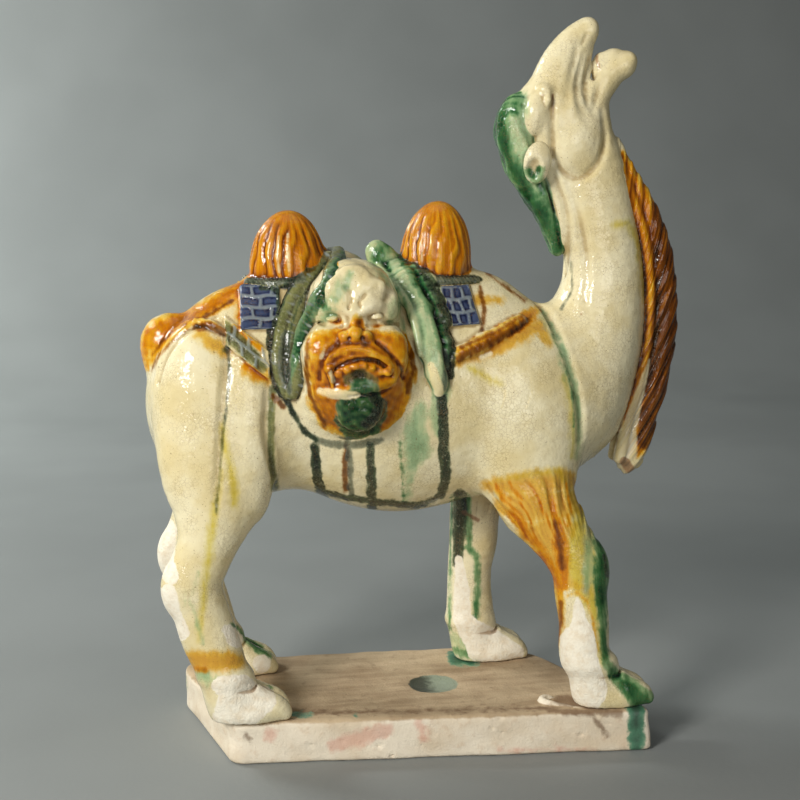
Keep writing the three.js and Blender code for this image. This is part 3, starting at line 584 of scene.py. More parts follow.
teeth_path = on_face([
    [-53.2, 173.4], [-49.2, 175.6], [-45.2, 177.2], [-41, 177.6], [-37, 176.4], [-33, 174],
])
teeth = joined([(ball(at, [1.3 + 0.25 * (i % 3), 1.1, 1.4]), 1.2) for i, at in enumerate(teeth_path)])
fang_path = on_face([[-57.2, 173.4, 0.8], [-55.8, 167.6, 0.8]])
fang = limb([[*fang_path[0], 1.5, 1.5], [*fang_path[1], 0.7, 0.7]])
brow = mask_line([
    [-61, 200, -1],
    [-55, 204, -0.4],
    [-48, 203],
    [-43.8, 201],
    [-40, 203],
    [-33.5, 204.6, -0.4],
    [-26, 201.5, -1],
], 2.1)
EYES = [(-54.8, 198.7), (-33.6, 199.2)]
sockets = joined([(on_mask(x, z - 0.4, [4.2, 1.6, 2.2], 0.7), 1) for x, z in EYES])
eyeballs = joined([(on_mask(x, z, [3.1, 1.9, 1.5]), 1) for x, z in EYES])
nose = joined([
    (mask_line([[-44.6, 203, -1.4], [-44.9, 196, -0.4]], 2.4), 1),
    (on_mask(-44.9, 192, [4, 3.6, 3.8], 1), 2.5),
    (on_mask(-49.6, 191, [2.9, 2.6, 2.5], 0.4), 1),
    (on_mask(-40, 191, [3, 2.6, 2.5], 0.4), 1),
])
nostril_pits = joined([
    (on_mask(-48.1, 190.4, [1.3, 2.4, 1.2], 3.2), 0.5),
    (on_mask(-41.6, 190.4, [1.7, 2.6, 1.6], 3.4), 0.5),
])
forehead_lumps = joined([
    (on_mask(-53, 213, [4.4, 2, 5], -0.8), 1),
    (on_mask(-35.6, 212.5, [6, 2.2, 4.6], -0.8), 3),
    (on_mask(-45.4, 219, [6.4, 1.6, 4.2], -1), 3),
    (on_mask(-61, 205, [3, 2.4, 5], -1), 2),
    (on_mask(-26, 205, [3, 2.4, 5], -1), 2),
])
muzzle_fold = mask_line([
    [-60.5, 178, -1],
    [-58.1, 181.3, -0.2],
    [-53.3, 184, -0.2],
    [-44.3, 185.4, -0.2],
    [-35.4, 182],
    [-28.9, 177.6],
    [-26, 172.5, -1],
], 1.5)
mouth_line = mask_line([
    [-57, 172.6],
    [-55, 175.8],
    [-49.2, 179],
    [-41.4, 180.6],
    [-33.9, 178.6],
    [-28.8, 174],
    [-27.6, 171],
], 1.1)
mouth_pit = on_mask(-43.6, 172.6, [4.6, 2.4, 3.2], 0.8)
corner_lumps = joined([
    (on_mask(-29.4, 174.2, [2.4, 2.6, 2.4], 0.6), 1),
    (on_mask(-57.6, 176, [2, 2.2, 2], 0.4), 1),
])
lower_lip = mask_line([
    [-61, 163.6, -1.4],
    [-52.5, 165.4, -0.6],
    [-42.9, 166.6, -1],
    [-34.4, 167.4, -1.4],
    [-27.5, 170, -1.6],
], 2.1)


def creases(*rows):
    return joined([(mask_line(path, radius), 0.5) for radius, path in rows])


forehead_creases = creases(
    (0.6, [[-47.2, 203.5, 0.3], [-46.2, 208, 0.3], [-47.8, 213, 0.8]]),
    (0.6, [[-41.8, 203.5, 0.3], [-42.2, 206.6, 0.3], [-39.6, 210, 0.8]]),
)
side_folds = creases(
    (0.9, [[-53.5, 188], [-58.4, 184], [-61.5, 177], [-62, 171]]),
    (0.9, [[-34.6, 188], [-28.4, 182.6], [-22, 175], [-20.4, 169]]),
    (0.8, [[-65, 195], [-59, 196], [-51, 195.4]]),
    (0.8, [[-38, 195.6], [-29.5, 196.2], [-20.5, 194]]),
    (0.7, [[-57, 162], [-50, 163.6], [-42, 163.4], [-34, 163.8], [-28, 165.4]]),
)
MASK_WORK = [
    (blend, brow, 3.5),
    (blend, forehead_lumps, 4.5),
    (carve, forehead_creases, 2.4),
    (carve, sockets, 2),
    (blend, eyeballs, 0.7),
    (blend, nose, 1.6),
    (carve, nostril_pits, 0.8),
    (blend, muzzle_fold, 1.6),
    (carve, side_folds, 2),
    (carve, mouth_line, 0.8),
    (blend, teeth, 1.2),
    (blend, corner_lumps, 1.2),
    (carve, mouth_pit, 1.2),
    (blend, lower_lip, 3),
    (blend, fang, 0.6),
]


def mask_bag(p):
    plain = bag(p)
    near = np.flatnonzero(plain < REACH)
    if not near.size:
        return plain
    p = p[:, near]
    x, y, z = p
    d = worked(mask_base(p), p, MASK_WORK)
    on_chin = smooth_step(162, 158, z) * smooth_step(145, 149, z)
    on_chin = on_chin * smooth_step(13, 7, np.abs(x - MASK_X - 1))
    down = z + 0.05 * (x - MASK_X) ** 2
    d += on_chin * 0.13 * np.sin(2 * math.pi * down / 4.6 + waves(p, 12, 8, 4))
    uneven = 0.22 * waves(p, 11, 9, 6) + 0.1 * waves(p, 4.5, 10, 6)
    plain[near] = d + uneven * smooth_step(4, 1, d)
    return plain


# Cords and hems lie on the flank

flank = joined([
    (trunk, 1),
    (bundle, 6),
    (hump_slope, 6),
    (hump_base(FRONT_HUMP[0]), 6),
    (hump_base(REAR_HUMP[0]), 6),
    (bag, 3),
])


def cord(path, radii, deep, pitch, slant, flat=1.0):
    """A twisted band on the flank: its half widths, and the depth, spacing and slant of its ridges.

    It is thinner than it is wide where flat is below 1.
    """
    body = limb([[*point, r, flat * r] for point, r in zip(on_side(flank, path), radii)])
    rough = 0.35 * min(radii[1] / 4, 1)

    def field(p):
        d = body(p)
        near = np.flatnonzero(d < RELIEF_REACH)
        q = p[:, near]
        wander = waves(q, 16, 61, 5)
        d[near] += deep * np.sin(2 * math.pi * (q[2] + slant * q[0]) / pitch + wander)
        d[near] += rough * waves(q, 11, 62, 6)
        return d

    return field


SASH_PATH = [
    [-25, 226.5, -1.5],
    [-22, 222.5, 0],
    [-18, 217.5, 0.8],
    [-13.6, 211.5, 1],
    [-10.4, 205, 1.5],
    [-8.4, 198.5, 2],
    [-7, 191, 2.5],
    [-5.8, 184, 2.5],
    [-4.2, 176, 2.5],
    [-2.6, 168.5, 2],
    [-1.6, 163],
]
SASH_RADII = [6, 7.8, 8, 7, 6, 5.6, 5.7, 5.8, 5.6, 4.8, 3]
SASH_BACK = [
    [-10, 222, 0.2],
    [-6, 214, 0.4],
    [-2.4, 205, 0.6],
    [0, 195, 0.8],
    [1.4, 184, 0.8],
    [1.2, 174, 0.4],
]
SASH_FOLDS = [
    [[-27, 221, 2], [-21, 212, 3], [-15.4, 203, 3.6], [-12.6, 192, 4.2], [-11.4, 180, 4.2]],
    [[-15, 219, 4], [-9.4, 208, 4.2], [-5.2, 196, 4.8], [-2.6, 184, 5], [-1.2, 173, 4]],
]
sash = joined([
    (cord(SASH_PATH, SASH_RADII, 0.3, 19, -0.5, 0.62), 1),
    (cord(SASH_BACK, [4, 5, 5, 4.8, 4.4, 3], 0.3, 8, 0.6, 0.6), 1),
])
sash_folds = joined([(cord(fold, [1.8, 2.2, 2, 2, 1.4], 0.1, 9, 0), 1) for fold in SASH_FOLDS])

# The cords behind the bag: the width and lift of each, and its path
BAND_RADII = [2.4, 3, 3.2, 3.2, 3.1, 3, 2.7, 2]
CORD_BANDS = [
    (1.0, 0.8, [
        [-55.5, 225], [-65.5, 214], [-71.8, 204], [-76.4, 194.5],
        [-78.6, 185.7], [-79.4, 175.7], [-77.6, 167], [-74.8, 161],
    ]),
    (1.0, 0.8, [
        [-50.5, 225.6], [-60.5, 215.4], [-67, 204.8], [-70.8, 194.8],
        [-73, 185.5], [-74.2, 175.8], [-74.6, 167.6], [-74, 161.6],
    ]),
    (1.45, 2.2, [
        [-45, 227], [-53.4, 218.2], [-60, 206.4], [-64.6, 195.2],
        [-67.8, 185.4], [-69.8, 175.8], [-71.4, 168], [-73, 162],
    ]),
]
rear_cords = both_sides(joined([
    (cord([[*at, lift] for at in band], [width * r for r in BAND_RADII], 0.07, 2.4, 0.5, 0.7), 0.5)
    for width, lift, band in CORD_BANDS
]))
FRONT_HEM = [[5, 176], [12, 179.4], [22.6, 183.8], [33.5, 188.8], [43, 193.4]]
REAR_HEM = [[-117, 196], [-112, 195], [-107, 192.6], [-102.5, 190.4]]
hems = both_sides(joined([
    (cord(FRONT_HEM, [2.8, 4, 4.4, 4, 2.4], 0.11, 6.5, 1.3, 0.8), 1),
    (cord(REAR_HEM, [1.6, 2.4, 2.4, 1.8], 0.25, 4, 1), 1),
]))
braids = both_sides(joined([
    (cord([[-91, 213.4, 0.4], [-78.5, 213, 0.4], [-66, 214, 0.4]], [1.6, 1.9, 1.9], 0.3, 3.2, 1.6), 1),
    (cord([[-6, 213.4, 0.4], [8, 212.8, 0.4], [23, 212.6, 0.4]], [1.9, 1.9, 1.6], 0.3, 3.2, 1.6), 1),
]))

# Woven panels: middle, size, shear, slope, rows and columns
PANELS = {
    "rear": (-86.5, 202.3, 18.5, 20, 0.06, 0.0, 4, 2),
    "front": (9.5, 201.2, 20, 18.6, -0.2, 0.04, 3, 4),
    "strip": (-93.5, 183.6, 20, 13, 0.0, -0.8, 2, 3),
}
# Every other row of a panel is moved on by this share of a column
ROW_SHIFT = 0.4
# No panel reaches nearer to the camel's middle than this
PANEL_INNER = 8.0


def panel_lines(p, panel):
    """How far inside a panel's edge each point is, and how far from its nearest raised line."""
    x, y, z = p
    cx, cz, wide, tall, shear, slope, rows, columns = PANELS[panel]
    u = (x - cx - shear * (z - cz)) / wide + 0.5
    v = (z - cz - slope * (x - cx)) / tall + 0.5
    rim = np.minimum(np.minimum(u, 1 - u) * wide, np.minimum(v, 1 - v) * tall / math.hypot(1, slope))
    u = u + 0.016 * np.sin(0.7 * z + 0.3 * x)
    v = v + 0.02 * np.sin(0.45 * x + 0.2 * z)
    across = u * columns + ROW_SHIFT * np.mod(np.floor(v * rows), 2)
    line = np.minimum(
        np.abs(across - np.round(across)) * wide / columns,
        np.abs(v * rows - np.round(v * rows)) * tall / rows,
    )
    return np.where(np.abs(y) > PANEL_INNER, rim, -9.0), line


def panel_relief(p):
    rise = np.zeros(p.shape[1], np.float32)
    for panel in PANELS:
        rim, line = panel_lines(p, panel)
        weave = 1.3 + 0.7 * smooth_step(1.2, 0.3, line) + 0.25 * smooth_step(0.8, 2.2, line)
        rise += smooth_step(-0.9, 0.7, rim) * weave
    return rise


body = joined([
    (trunk, 1),
    (leg(HIND_LEG, -1), 9),
    (leg(HIND_LEG, 1), 9),
    (leg(NEAR_FORE_LEG, -1), 9),
    (leg(FAR_FORE_LEG, 1), 9),
    (ball([-130, -31, 66], [6, 6.5, 10]), 7),
    (ball([-130, 31, 66], [6, 6.5, 10]), 7),
    (ball([78, -35, 67], [6, 8.5, 11]), 8),
    (ball([34, 30, 67], [6, 8.5, 11]), 8),
    (neck, 9),
    (nape, 4),
    (skull, 6),
    (jaw, 6),
    (chin, 3),
])
bags = both_sides(mask_bag)
full_sash = both_sides(joined([(sash, 1), (sash_folds, 1.5)]))
cords = joined([(full_sash, 1), (rear_cords, 1), (braids, 1)])
BODY_WORK = [
    (carve, mouth, 1.5),
    (blend, tongue, 1),
    (blend, head_sides, 2.5),
    (carve, folds, 2.5),
    (carve, nostrils, 2),
    (blend, ears, 1.2),
    (carve, ear_hollows, 1),
    (blend, mane, 2),
    (blend, beard, 1.5),
    (blend, tail, 3),
    (blend, hump_slope, 6),
    (blend, humps, 6),
    (blend, bundle, 6),
]
SADDLE_WORK = [
    (blend, hems, 1.5),
    (blend, bags, 3),
    (blend, cords, 1.2),
]


def camel(p):
    d = worked(body(p) + fore_hair(p), p, BODY_WORK)
    d = worked(d - panel_relief(p), p, SADDLE_WORK)
    return np.maximum(d, -p[2])


# Turning a field into a mesh


def in_chunks(field, p, size=40000):
    """The field at many points, worked out side by side."""
    starts = range(0, p.shape[1], size)
    with ThreadPoolExecutor(4) as pool:
        found = list(pool.map(lambda s: field(p[:, s : s + size]).astype(np.float32), starts))
    return np.concatenate(found) if found else np.zeros(0, np.float32)


def lattice(*ticks):
    """Every meeting of the three rows of ticks, one a row."""
    return np.stack(np.meshgrid(*ticks, indexing="ij"), -1).reshape(-1, 3)


def sample(field, low, high, step):
    """The field on a grid; blocks of the grid that the skin stays clear of get one value."""
    low = np.array(low, np.float32)
    span = np.array(high, np.float32) - low
    large, small = 16, 4
    count = np.ceil(span / (step * large)).astype(int) * large
    values = np.full(count, FAR_OFF, np.float32)
    starts = lattice(*[np.arange(0, n, large) for n in count])
    for cells, inner in ((large, small), (small, 1)):
        middles = low + step * (starts + (cells - 1) / 2)
        d = in_chunks(field, middles.T.astype(np.float32))
        radius = 0.5 * math.sqrt(3) * cells * step
        near = np.abs(d) < 1.25 * radius + 0.8
        for (a, b, c), value in zip(starts[~near], d[~near]):
            values[a : a + cells, b : b + cells, c : c + cells] = value
        offsets = lattice(*[np.arange(0, cells, inner)] * 3)
        starts = (starts[near][:, None, :] + offsets[None]).reshape(-1, 3)
    values[tuple(starts.T)] = in_chunks(field, (low + step * starts).T.astype(np.float32))
    return values


def net(values, low, step):
    """Surface nets: a point in every cell that the skin crosses, and a face on every crossed edge."""
    inside = values < 0
    full = np.zeros(tuple(n - 1 for n in values.shape), np.int8)
    shifts = [(i, j, k) for i in (0, 1) for j in (0, 1) for k in (0, 1)]
    for i, j, k in shifts:
        full += inside[i : i + full.shape[0], j : j + full.shape[1], k : k + full.shape[2]]
    cells = np.argwhere((full > 0) & (full < 8))
    number = np.full(full.shape, -1, np.int32)
    number[tuple(cells.T)] = np.arange(len(cells))
    at = {s: values[tuple((cells + s).T)] for s in shifts}
    total = np.zeros((len(cells), 3), np.float32)
    hits = np.zeros(len(cells), np.float32)
    for s in shifts:
        for axis in range(3):
            if s[axis]:
                continue
            t = tuple(v + (k == axis) for k, v in enumerate(s))
            a, b = at[s], at[t]
            crossed = (a < 0) != (b < 0)
            share = np.where(crossed, a / np.where(crossed, a - b, 1), 0)
            point = np.array(s, np.float32) + np.eye(3, dtype=np.float32)[axis] * share[:, None]
            total += point * crossed[:, None]
            hits += crossed
    points = np.array(low, np.float32) + step * (cells + total / hits[:, None])
    faces = []
    for axis in range(3):
        one, two = (axis + 1) % 3, (axis + 2) % 3
        ahead = np.roll(inside, -1, axis)
        border = (slice(None),) * axis + (-1,)
        ahead[border] = inside[border]
        edge = np.argwhere(inside != ahead)
        step_one, step_two = np.eye(3, dtype=int)[one], np.eye(3, dtype=int)[two]
        ring = [edge, edge - step_one, edge - step_one - step_two, edge - step_two]
        ids = np.stack([number[tuple(c.T)] for c in ring], 1)
        out = inside[tuple(edge.T)]
        faces.append(np.where(out[:, None], ids, ids[:, ::-1]))
    return points, np.concatenate(faces)


def slope_of(field, p, d, h=0.25):
    """The field's gradient, given its values d."""
    rows = []
    for axis in range(3):
        q = p.copy()
        q[axis] += h
        rows.append((in_chunks(field, q) - d) / h)
    return np.stack(rows)


def settle(field, points, step):
    """Moves the points of a net onto the skin itself."""
    p = points.T.copy()
    d = in_chunks(field, p)
    g = slope_of(field, p, d)
    push = d / np.maximum((g * g).sum(0), 0.2)
    p -= np.clip(push, -0.6 * step, 0.6 * step) * g
    return p


def largest_part(count, faces):
    """A mask of the points that belong to the biggest connected skin."""
    label = np.arange(count)
    a, b = faces[:, [0, 1, 2, 3]].ravel(), faces[:, [1, 2, 3, 0]].ravel()
    while True:
        least = np.minimum(label[a], label[b])
        new = label.copy()
        np.minimum.at(new, label[a], least)
        np.minimum.at(new, label[b], least)
        new = new[new]
        if (new == label).all():
            break
        label = new
    return label == np.bincount(label).argmax()


def normals_of(p, faces):
    a, b, c, d = (p[:, faces[:, k]] for k in range(4))
    n = np.cross((c - a).T, (d - b).T)
    total = np.zeros((p.shape[1], 3))
    for k in range(4):
        for axis in range(3):
            total[:, axis] += np.bincount(faces[:, k], n[:, axis], p.shape[1])
    return (total / np.maximum(np.linalg.norm(total, axis=1, keepdims=True), 1e-9)).T


def hollowness(p, n, faces, rounds):
    """How deep each point lies below the skin around it, in millimetres."""
    a, b = faces.ravel(), np.roll(faces, -1, 1).ravel()
    count = p.shape[1]
    share = np.maximum(np.bincount(a, minlength=count) + np.bincount(b, minlength=count), 1)
    q = p.astype(float)
    for _ in range(rounds):
        around = [(np.bincount(a, row[b], count) + np.bincount(b, row[a], count)) / share for row in q]
        q = 0.5 * q + 0.5 * np.stack(around)
    return ((q - p) * n).sum(0).astype(np.float32)


def skin(field, low, high, step):
    points, faces = net(sample(field, low, high, step), low, step)
    kept = largest_part(len(points), faces)
    number = np.cumsum(kept) - 1
    faces = number[faces[kept[faces[:, 0]]]]
    return settle(field, points[kept], step), faces


def mesh_object(name, p, faces, normals, offset, material, values):
    """A shown piece from points in millimetres, with one float value a point for each glaze."""
    mesh = bpy.data.meshes.new(name)
    places = ((p.T + np.array(offset)) * MM).astype(np.float32)
    mesh.vertices.add(len(places))
    mesh.vertices.foreach_set("co", places.ravel())
    mesh.loops.add(faces.size)
    mesh.loops.foreach_set("vertex_index", faces.ravel().astype(np.int32))
    mesh.polygons.add(len(faces))
    mesh.polygons.foreach_set("loop_start", np.arange(0, faces.size, 4, dtype=np.int32))
    mesh.update(calc_edges=True)
    mesh.validate()
    mesh.shade_smooth()
    mesh.normals_split_custom_set_from_vertices(normals.T.astype(np.float32))
    for key, value in values.items():
        mesh.attributes.new(key, "FLOAT", "POINT").data.foreach_set("value", value.astype(np.float32))
    mesh.materials.append(material)
    made = bpy.data.objects.new(name, mesh)
    bpy.context.scene.collection.objects.link(made)
    return made


# The glazes. Each keeps to a part of the camel and is a list of strokes. A stroke is a row of (across,
# down, radius) in pixels of the photograph's frame, laid on the camel's right side as it is seen
# there. The left side gets them mirrored and shifted a little.

STROKES = {
    ("lemon", "skin"): [
        [(222, 425, 2.4), (226, 450, 3.4), (231, 470, 4), (234, 486, 4), (234, 504, 3)],
        [(215, 506, 3), (211, 540, 4.4), (207, 567, 4.4), (203, 605, 3), (199, 640, 2)],
        [(222, 470, 1.4), (218, 500, 1.8), (213, 530, 1.6)],
        [(566, 377, 3.5), (571, 400, 4), (575, 436, 4), (572, 456, 3)],
        [(616, 225, 3), (628, 222, 4.5), (636, 236, 3.5), (642, 262, 3), (645, 300, 2.5)],
        [(580, 500, 4), (581, 530, 12), (582, 560, 18), (582, 582, 13), (598, 620, 4), (602, 662, 2.4)],
        [(499, 480, 2), (530, 475, 3), (560, 471, 3), (572, 500, 6), (582, 520, 8)],
        [(503, 650, 2), (520, 655, 2)], [(500, 384, 3), (470, 368, 3)],
    ],
    ("yellow", "skin"): [
        [(200, 334, 7), (214, 345, 8), (226, 352, 6)], [(240, 292, 7), (243, 325, 6)],
        [(247, 372, 6), (258, 376, 7), (268, 382, 5)],
        [(455, 362, 5), (470, 357, 6), (500, 346, 7), (520, 336, 8), (540, 326, 8), (549, 342, 6)],
        [(478, 300, 6), (500, 300, 4)], [(487, 485, 6), (515, 485, 12), (545, 484, 15), (566, 481, 12)],
        [(505, 505, 12), (540, 505, 20), (572, 503, 14)],
        [(528, 532, 12), (552, 535, 20), (568, 530, 10)], [(545, 560, 12), (560, 562, 14)],
        [(556, 582, 8), (566, 582, 8), (590, 592, 3)],
        [(190, 660, 10), (205, 661, 10), (222, 661, 11), (238, 661, 9)],
    ],
    ("amber", "skin"): [
        [(141, 362, 8), (144, 350, 12), (152, 338, 15), (166, 327, 14), (180, 320, 12), (196, 316, 9)],
        [(196, 312, 9), (210, 306, 10), (224, 298, 11), (238, 288, 9), (246, 280, 6)],
        [(194, 321, 5), (178, 328, 6), (165, 338, 6.5), (154, 350, 6.5), (146, 366, 5.5)],
        [(241, 286, 3), (241, 328, 3)], [(246, 340, 6), (262, 352, 6)], [(202, 323, 5), (214, 325, 4)],
        [(246, 366, 5), (262, 376, 6)],
        [(458, 354, 6), (475, 346, 8), (497, 335, 9), (517, 324, 9), (534, 312, 6)],
        [(496, 487, 4), (512, 512, 6), (530, 537, 7), (545, 560, 8), (556, 582, 7), (560, 602, 5),
         (560, 625, 4), (556, 648, 2.4)],
        [(552, 497, 3), (557, 525, 8), (560, 550, 9), (562, 572, 7), (565, 588, 3)],
        [(530, 484, 1.8), (540, 505, 3), (550, 525, 4)],
        [(510, 482, 1.8), (520, 500, 2.2), (532, 522, 3)],
        [(566, 484, 1.8), (570, 505, 2.5), (568, 525, 3)],
        [(567, 596, 1.6), (577, 592, 1.6), (587, 601, 1.2), (593, 622, 1), (599, 650, 0.9)],
        [(192, 668, 3), (205, 670, 2.6)], [(310, 246, 8), (322, 250, 8), (336, 258, 7)],
        [(266, 377, 4), (274, 372, 4)],
    ],
    ("amber", "mask"): [
        [(322, 346, 17), (358, 344, 16), (398, 349, 18)],
        [(323, 370, 19), (360, 375, 30), (397, 374, 20)],
        [(333, 396, 26), (362, 400, 28), (389, 396, 22)],
        [(340, 412, 25), (352, 425, 16), (372, 425, 16), (383, 405, 25)], [(357, 319, 5), (357, 332, 12)],
        [(331, 322, 2), (340, 322, 2.6)], [(374, 327, 1.6), (384, 326, 1)],
    ],
    ("amber", "strip"): [
        [(236, 328, 6), (262, 345, 6)], [(256, 372, 7), (270, 376, 7)],
    ],
    ("amber", "beard"): [
        [(622, 158, 8), (636, 190, 16), (646, 220, 20), (655, 250, 22), (661, 280, 24), (663, 310, 25),
         (662, 340, 25), (656, 370, 24), (648, 400, 22), (640, 425, 18), (634, 447, 12)],
    ],
    ("brown", "skin"): [
        [(186, 324, 1.2), (172, 332, 1.4), (161, 343, 1.4), (152, 356, 1.2)],
        [(196, 327, 4), (210, 326, 5), (226, 333, 4)], [(243, 356, 3), (262, 368, 3)],
        [(312, 236, 5), (324, 243, 5), (338, 252, 4)],
        [(477, 265, 1.4), (500, 283, 1.2), (525, 301, 1.6)],
        [(196, 327, 1.8), (183, 333, 1.2), (170, 343, 1.2), (159, 355, 1.2), (151, 371, 1)],
        [(205, 316, 2), (220, 308, 2), (232, 300, 2)],
        [(459, 358, 4), (475, 350, 4.4), (497, 339, 4.4), (517, 328, 4.4), (530, 317, 2)],
        [(462, 347, 2), (480, 339, 2.4), (500, 330, 2.4), (522, 316, 2)],
        [(555, 520, 2), (560, 545, 3.4), (562, 568, 2.6)],
        [(561, 602, 2), (561, 622, 2.4), (557, 643, 1.6)], [(273, 396, 3), (283, 406, 3)],
        [(346, 446, 3), (345, 465, 3.4), (346, 490, 3)], [(480, 286, 2), (484, 310, 3), (482, 330, 2)],
    ],
    ("brown", "mask"): [
        [(329, 373, 1.6), (336, 366, 1.6), (347, 361, 1.8), (362, 358.5, 2), (378, 362, 1.8),
         (390, 372, 1.8)],
        [(308, 340, 2), (306, 365, 2.4), (310, 395, 2.4), (325, 425, 2.6)], [(350, 339, 1.4)],
        [(365, 338.5, 3), (363, 346, 2.6)], [(340, 345, 1.4), (331, 356, 1.4)],
        [(380, 345, 1.2), (392, 358, 1.4), (403, 372, 1.4)],
        [(411, 350, 2), (413, 370, 3), (408, 392, 3)],
    ],
    ("brown", "beard"): [
        [(655, 205, 4), (664, 230, 12), (670, 268, 16), (672, 310, 20), (668, 350, 18), (660, 385, 16),
         (652, 415, 13), (646, 440, 10)],
        [(624, 190, 1.4), (638, 235, 1.8), (645, 273, 2), (646, 310, 2), (643, 340, 2), (635, 375, 2),
         (624, 407, 2), (615, 440, 2)],
    ],
    ("brown", "sash"): [
        [(398, 243, 3), (410, 262, 3)],
    ],
    ("green", "skin"): [
        [(540, 170, 4.5), (541, 180, 3)],
        [(552, 334, 0.8), (564, 362, 1), (572, 392, 1.1), (574, 426, 1)], [(528, 172, 5), (536, 181, 5)],
        [(400, 443, 1.5), (402, 475, 1.2), (404, 502, 1.4)],
        [(592, 518, 2), (600, 545, 6), (603, 568, 9), (602, 590, 8), (602, 612, 5.4), (603, 640, 4),
         (606, 662, 4.6), (616, 676, 7), (630, 688, 10), (642, 700, 13), (652, 710, 12)],
        [(462, 549, 2), (468, 545, 3), (476, 556, 3.6), (478, 588, 3.4), (476, 619, 3.2),
         (464, 634, 2.6)],
        [(452, 496, 1.6), (450, 573, 1.3), (449, 630, 1.4)],
        [(466, 498, 5), (468, 530, 4), (470, 550, 3)], [(455, 650, 4), (468, 654, 5), (478, 650, 3)],
        [(232, 627, 4), (245, 638, 5), (258, 648, 5), (270, 656, 3)], [(269, 689, 3)], [(258, 704, 2)],
    ],
    ("green", "mask"): [
        [(357, 386, 7), (364, 396, 17), (358, 409, 22), (369, 412, 18), (347, 420, 12), (352, 433, 9),
         (372, 431, 9)],
        [(322, 306, 2.6), (328, 309, 2.4)],
    ],
    ("green", "mane"): [
        [(503, 98, 11), (499, 115, 11), (502, 140, 10), (511, 165, 9.4), (523, 188, 10), (537, 208, 11),
         (551, 228, 11), (558, 248, 11)],
        [(516, 98, 8), (514, 110, 7)], [(530, 158, 3), (540, 185, 5), (552, 210, 5)],
    ],
    ("green", "cords"): [
        [(351, 254, 9), (335, 272, 9), (319, 296, 8), (307, 318, 7), (299, 340, 6), (294, 360, 5),
         (288, 382, 4)],
    ],
    ("green", "sash"): [
        [(377, 256, 7), (384, 246, 7), (399, 246, 8), (408, 262, 8)],
        [(386, 262, 2.4), (392, 278, 2), (404, 300, 1.6), (412, 330, 1.4)],
        [(412, 270, 7), (425, 290, 8), (436, 312, 8), (443, 336, 8), (448, 360, 7), (449, 378, 4)],
    ],
    ("green", "panel"): [
        [(450, 320, 4.6)],
    ],
    ("pale", "skin"): [
        [(421, 406, 6), (414, 428, 11), (417, 446, 16), (412, 462, 9), (409, 480, 5), (406, 500, 4)],
        [(198, 572, 0.4), (190, 600, 1), (197, 622, 1), (203, 643, 1.6)],
        [(186, 585, 0.2), (184, 610, 0.4)], [(586, 512, 1), (589, 540, 5), (588, 570, 7), (586, 592, 3)],
        [(202, 676, 7), (216, 681, 5)],
        [(541, 313, 3), (552, 331, 4.4), (563, 353, 5), (572, 383, 5.4), (578, 412, 5), (579, 438, 4.6),
         (577, 458, 3)],
        [(457, 640, 8), (470, 650, 8)], [(524, 96, 4), (527, 112, 3)],
        [(441, 392, 8), (436, 412, 8), (438, 432, 6)],
    ],
    ("pale", "mask"): [
        [(322, 305, 7), (330, 312, 7), (321, 319, 5)], [(333, 300, 7), (341, 288, 8), (350, 274, 5)],
        [(396, 304, 8), (392, 318, 5)], [(372, 264, 3), (388, 280, 5)], [(404, 322, 4), (410, 338, 3)],
    ],
    ("olive", "skin"): [
        [(225, 415, 1.6), (222, 450, 1.2), (219, 485, 1.2), (216, 512, 1.2)],
        [(273, 388, 4.4), (271, 415, 4), (271, 440, 3.6), (272, 468, 3.6), (275, 488, 4.2)],
        [(225, 350, 3), (232, 342, 3), (246, 345, 3), (262, 362, 3)],
    ],
    ("olive", "mask"): [
        [(349, 380, 6), (360, 378, 9), (371, 381, 7), (360, 390, 9)],
    ],
    ("olive", "strip"): [
        [(222, 327, 9), (245, 349, 8), (262, 368, 6)],
    ],
    ("slate", "skin"): [
        [(228, 346, 2.2), (230, 372, 1.8), (227, 400, 1.5), (225, 425, 1)],
        [(270, 331, 2.2), (271, 366, 2.4), (276, 386, 2.8), (286, 399, 3), (294, 414, 3), (303, 430, 3),
         (318, 441, 3.4), (332, 444, 4), (350, 446, 4), (368, 443, 4), (382, 440, 3)],
        [(441, 390, 5.5), (442, 412, 5.5)], [(348, 443, 4), (350, 463, 3), (351, 494, 3)],
        [(315, 446, 5), (316, 466, 4)], [(561, 309, 1.2), (572, 291, 1.2), (571, 262, 1.2)],
    ],
    ("slate", "cords"): [
        [(286, 335, 5), (284, 355, 6.5), (285, 375, 6), (289, 390, 4)],
        [(250, 279, 6), (275, 280, 6), (300, 278, 6)], [(421, 277, 6), (450, 278, 6), (478, 276, 6)],
    ],
    ("slate", "sash"): [
        # The sash's right edge: dark green glaze deepened by painted shade.
        [(444, 350, 3), (447, 368, 3), (443, 388, 4)],
    ],
    ("slate", "mask"): [
        [(342, 441, 5), (358, 444, 5), (374, 441, 5)],
    ],
    ("dark", "skin"): [
        [(314, 448, 4), (316, 462, 5), (317, 475, 5), (321, 492, 5), (327, 500, 3)],
        [(370, 446, 4), (371, 469, 5), (372, 507, 5)],
        [(268, 366, 1.6), (276, 390, 2), (287, 402, 2.2), (295, 416, 2.4), (304, 431, 2.6),
         (316, 440, 2.8)],
        [(321, 490, 2.6), (341, 497, 3), (365, 500, 3.4), (391, 503, 3.4), (418, 506, 3.6), (435, 499, 3),
         (446, 487, 3)],
        [(425, 277, 7), (450, 279, 6), (478, 279, 4)],
        [(441, 392, 4), (443, 418, 5), (444, 455, 5.6), (446, 478, 5), (441, 495, 4)],
        # Beside the sash's right side, down towards the front panel: painted shadow of the sash.
        [(403, 247, 6), (413, 268, 9), (423, 290, 10), (434, 315, 10), (443, 338, 9), (448, 357, 8),
         (449, 374, 6)],
        [(460, 496, 7), (460, 530, 7), (457, 562, 5.4)], [(604, 556, 1.6), (607, 576, 2)],
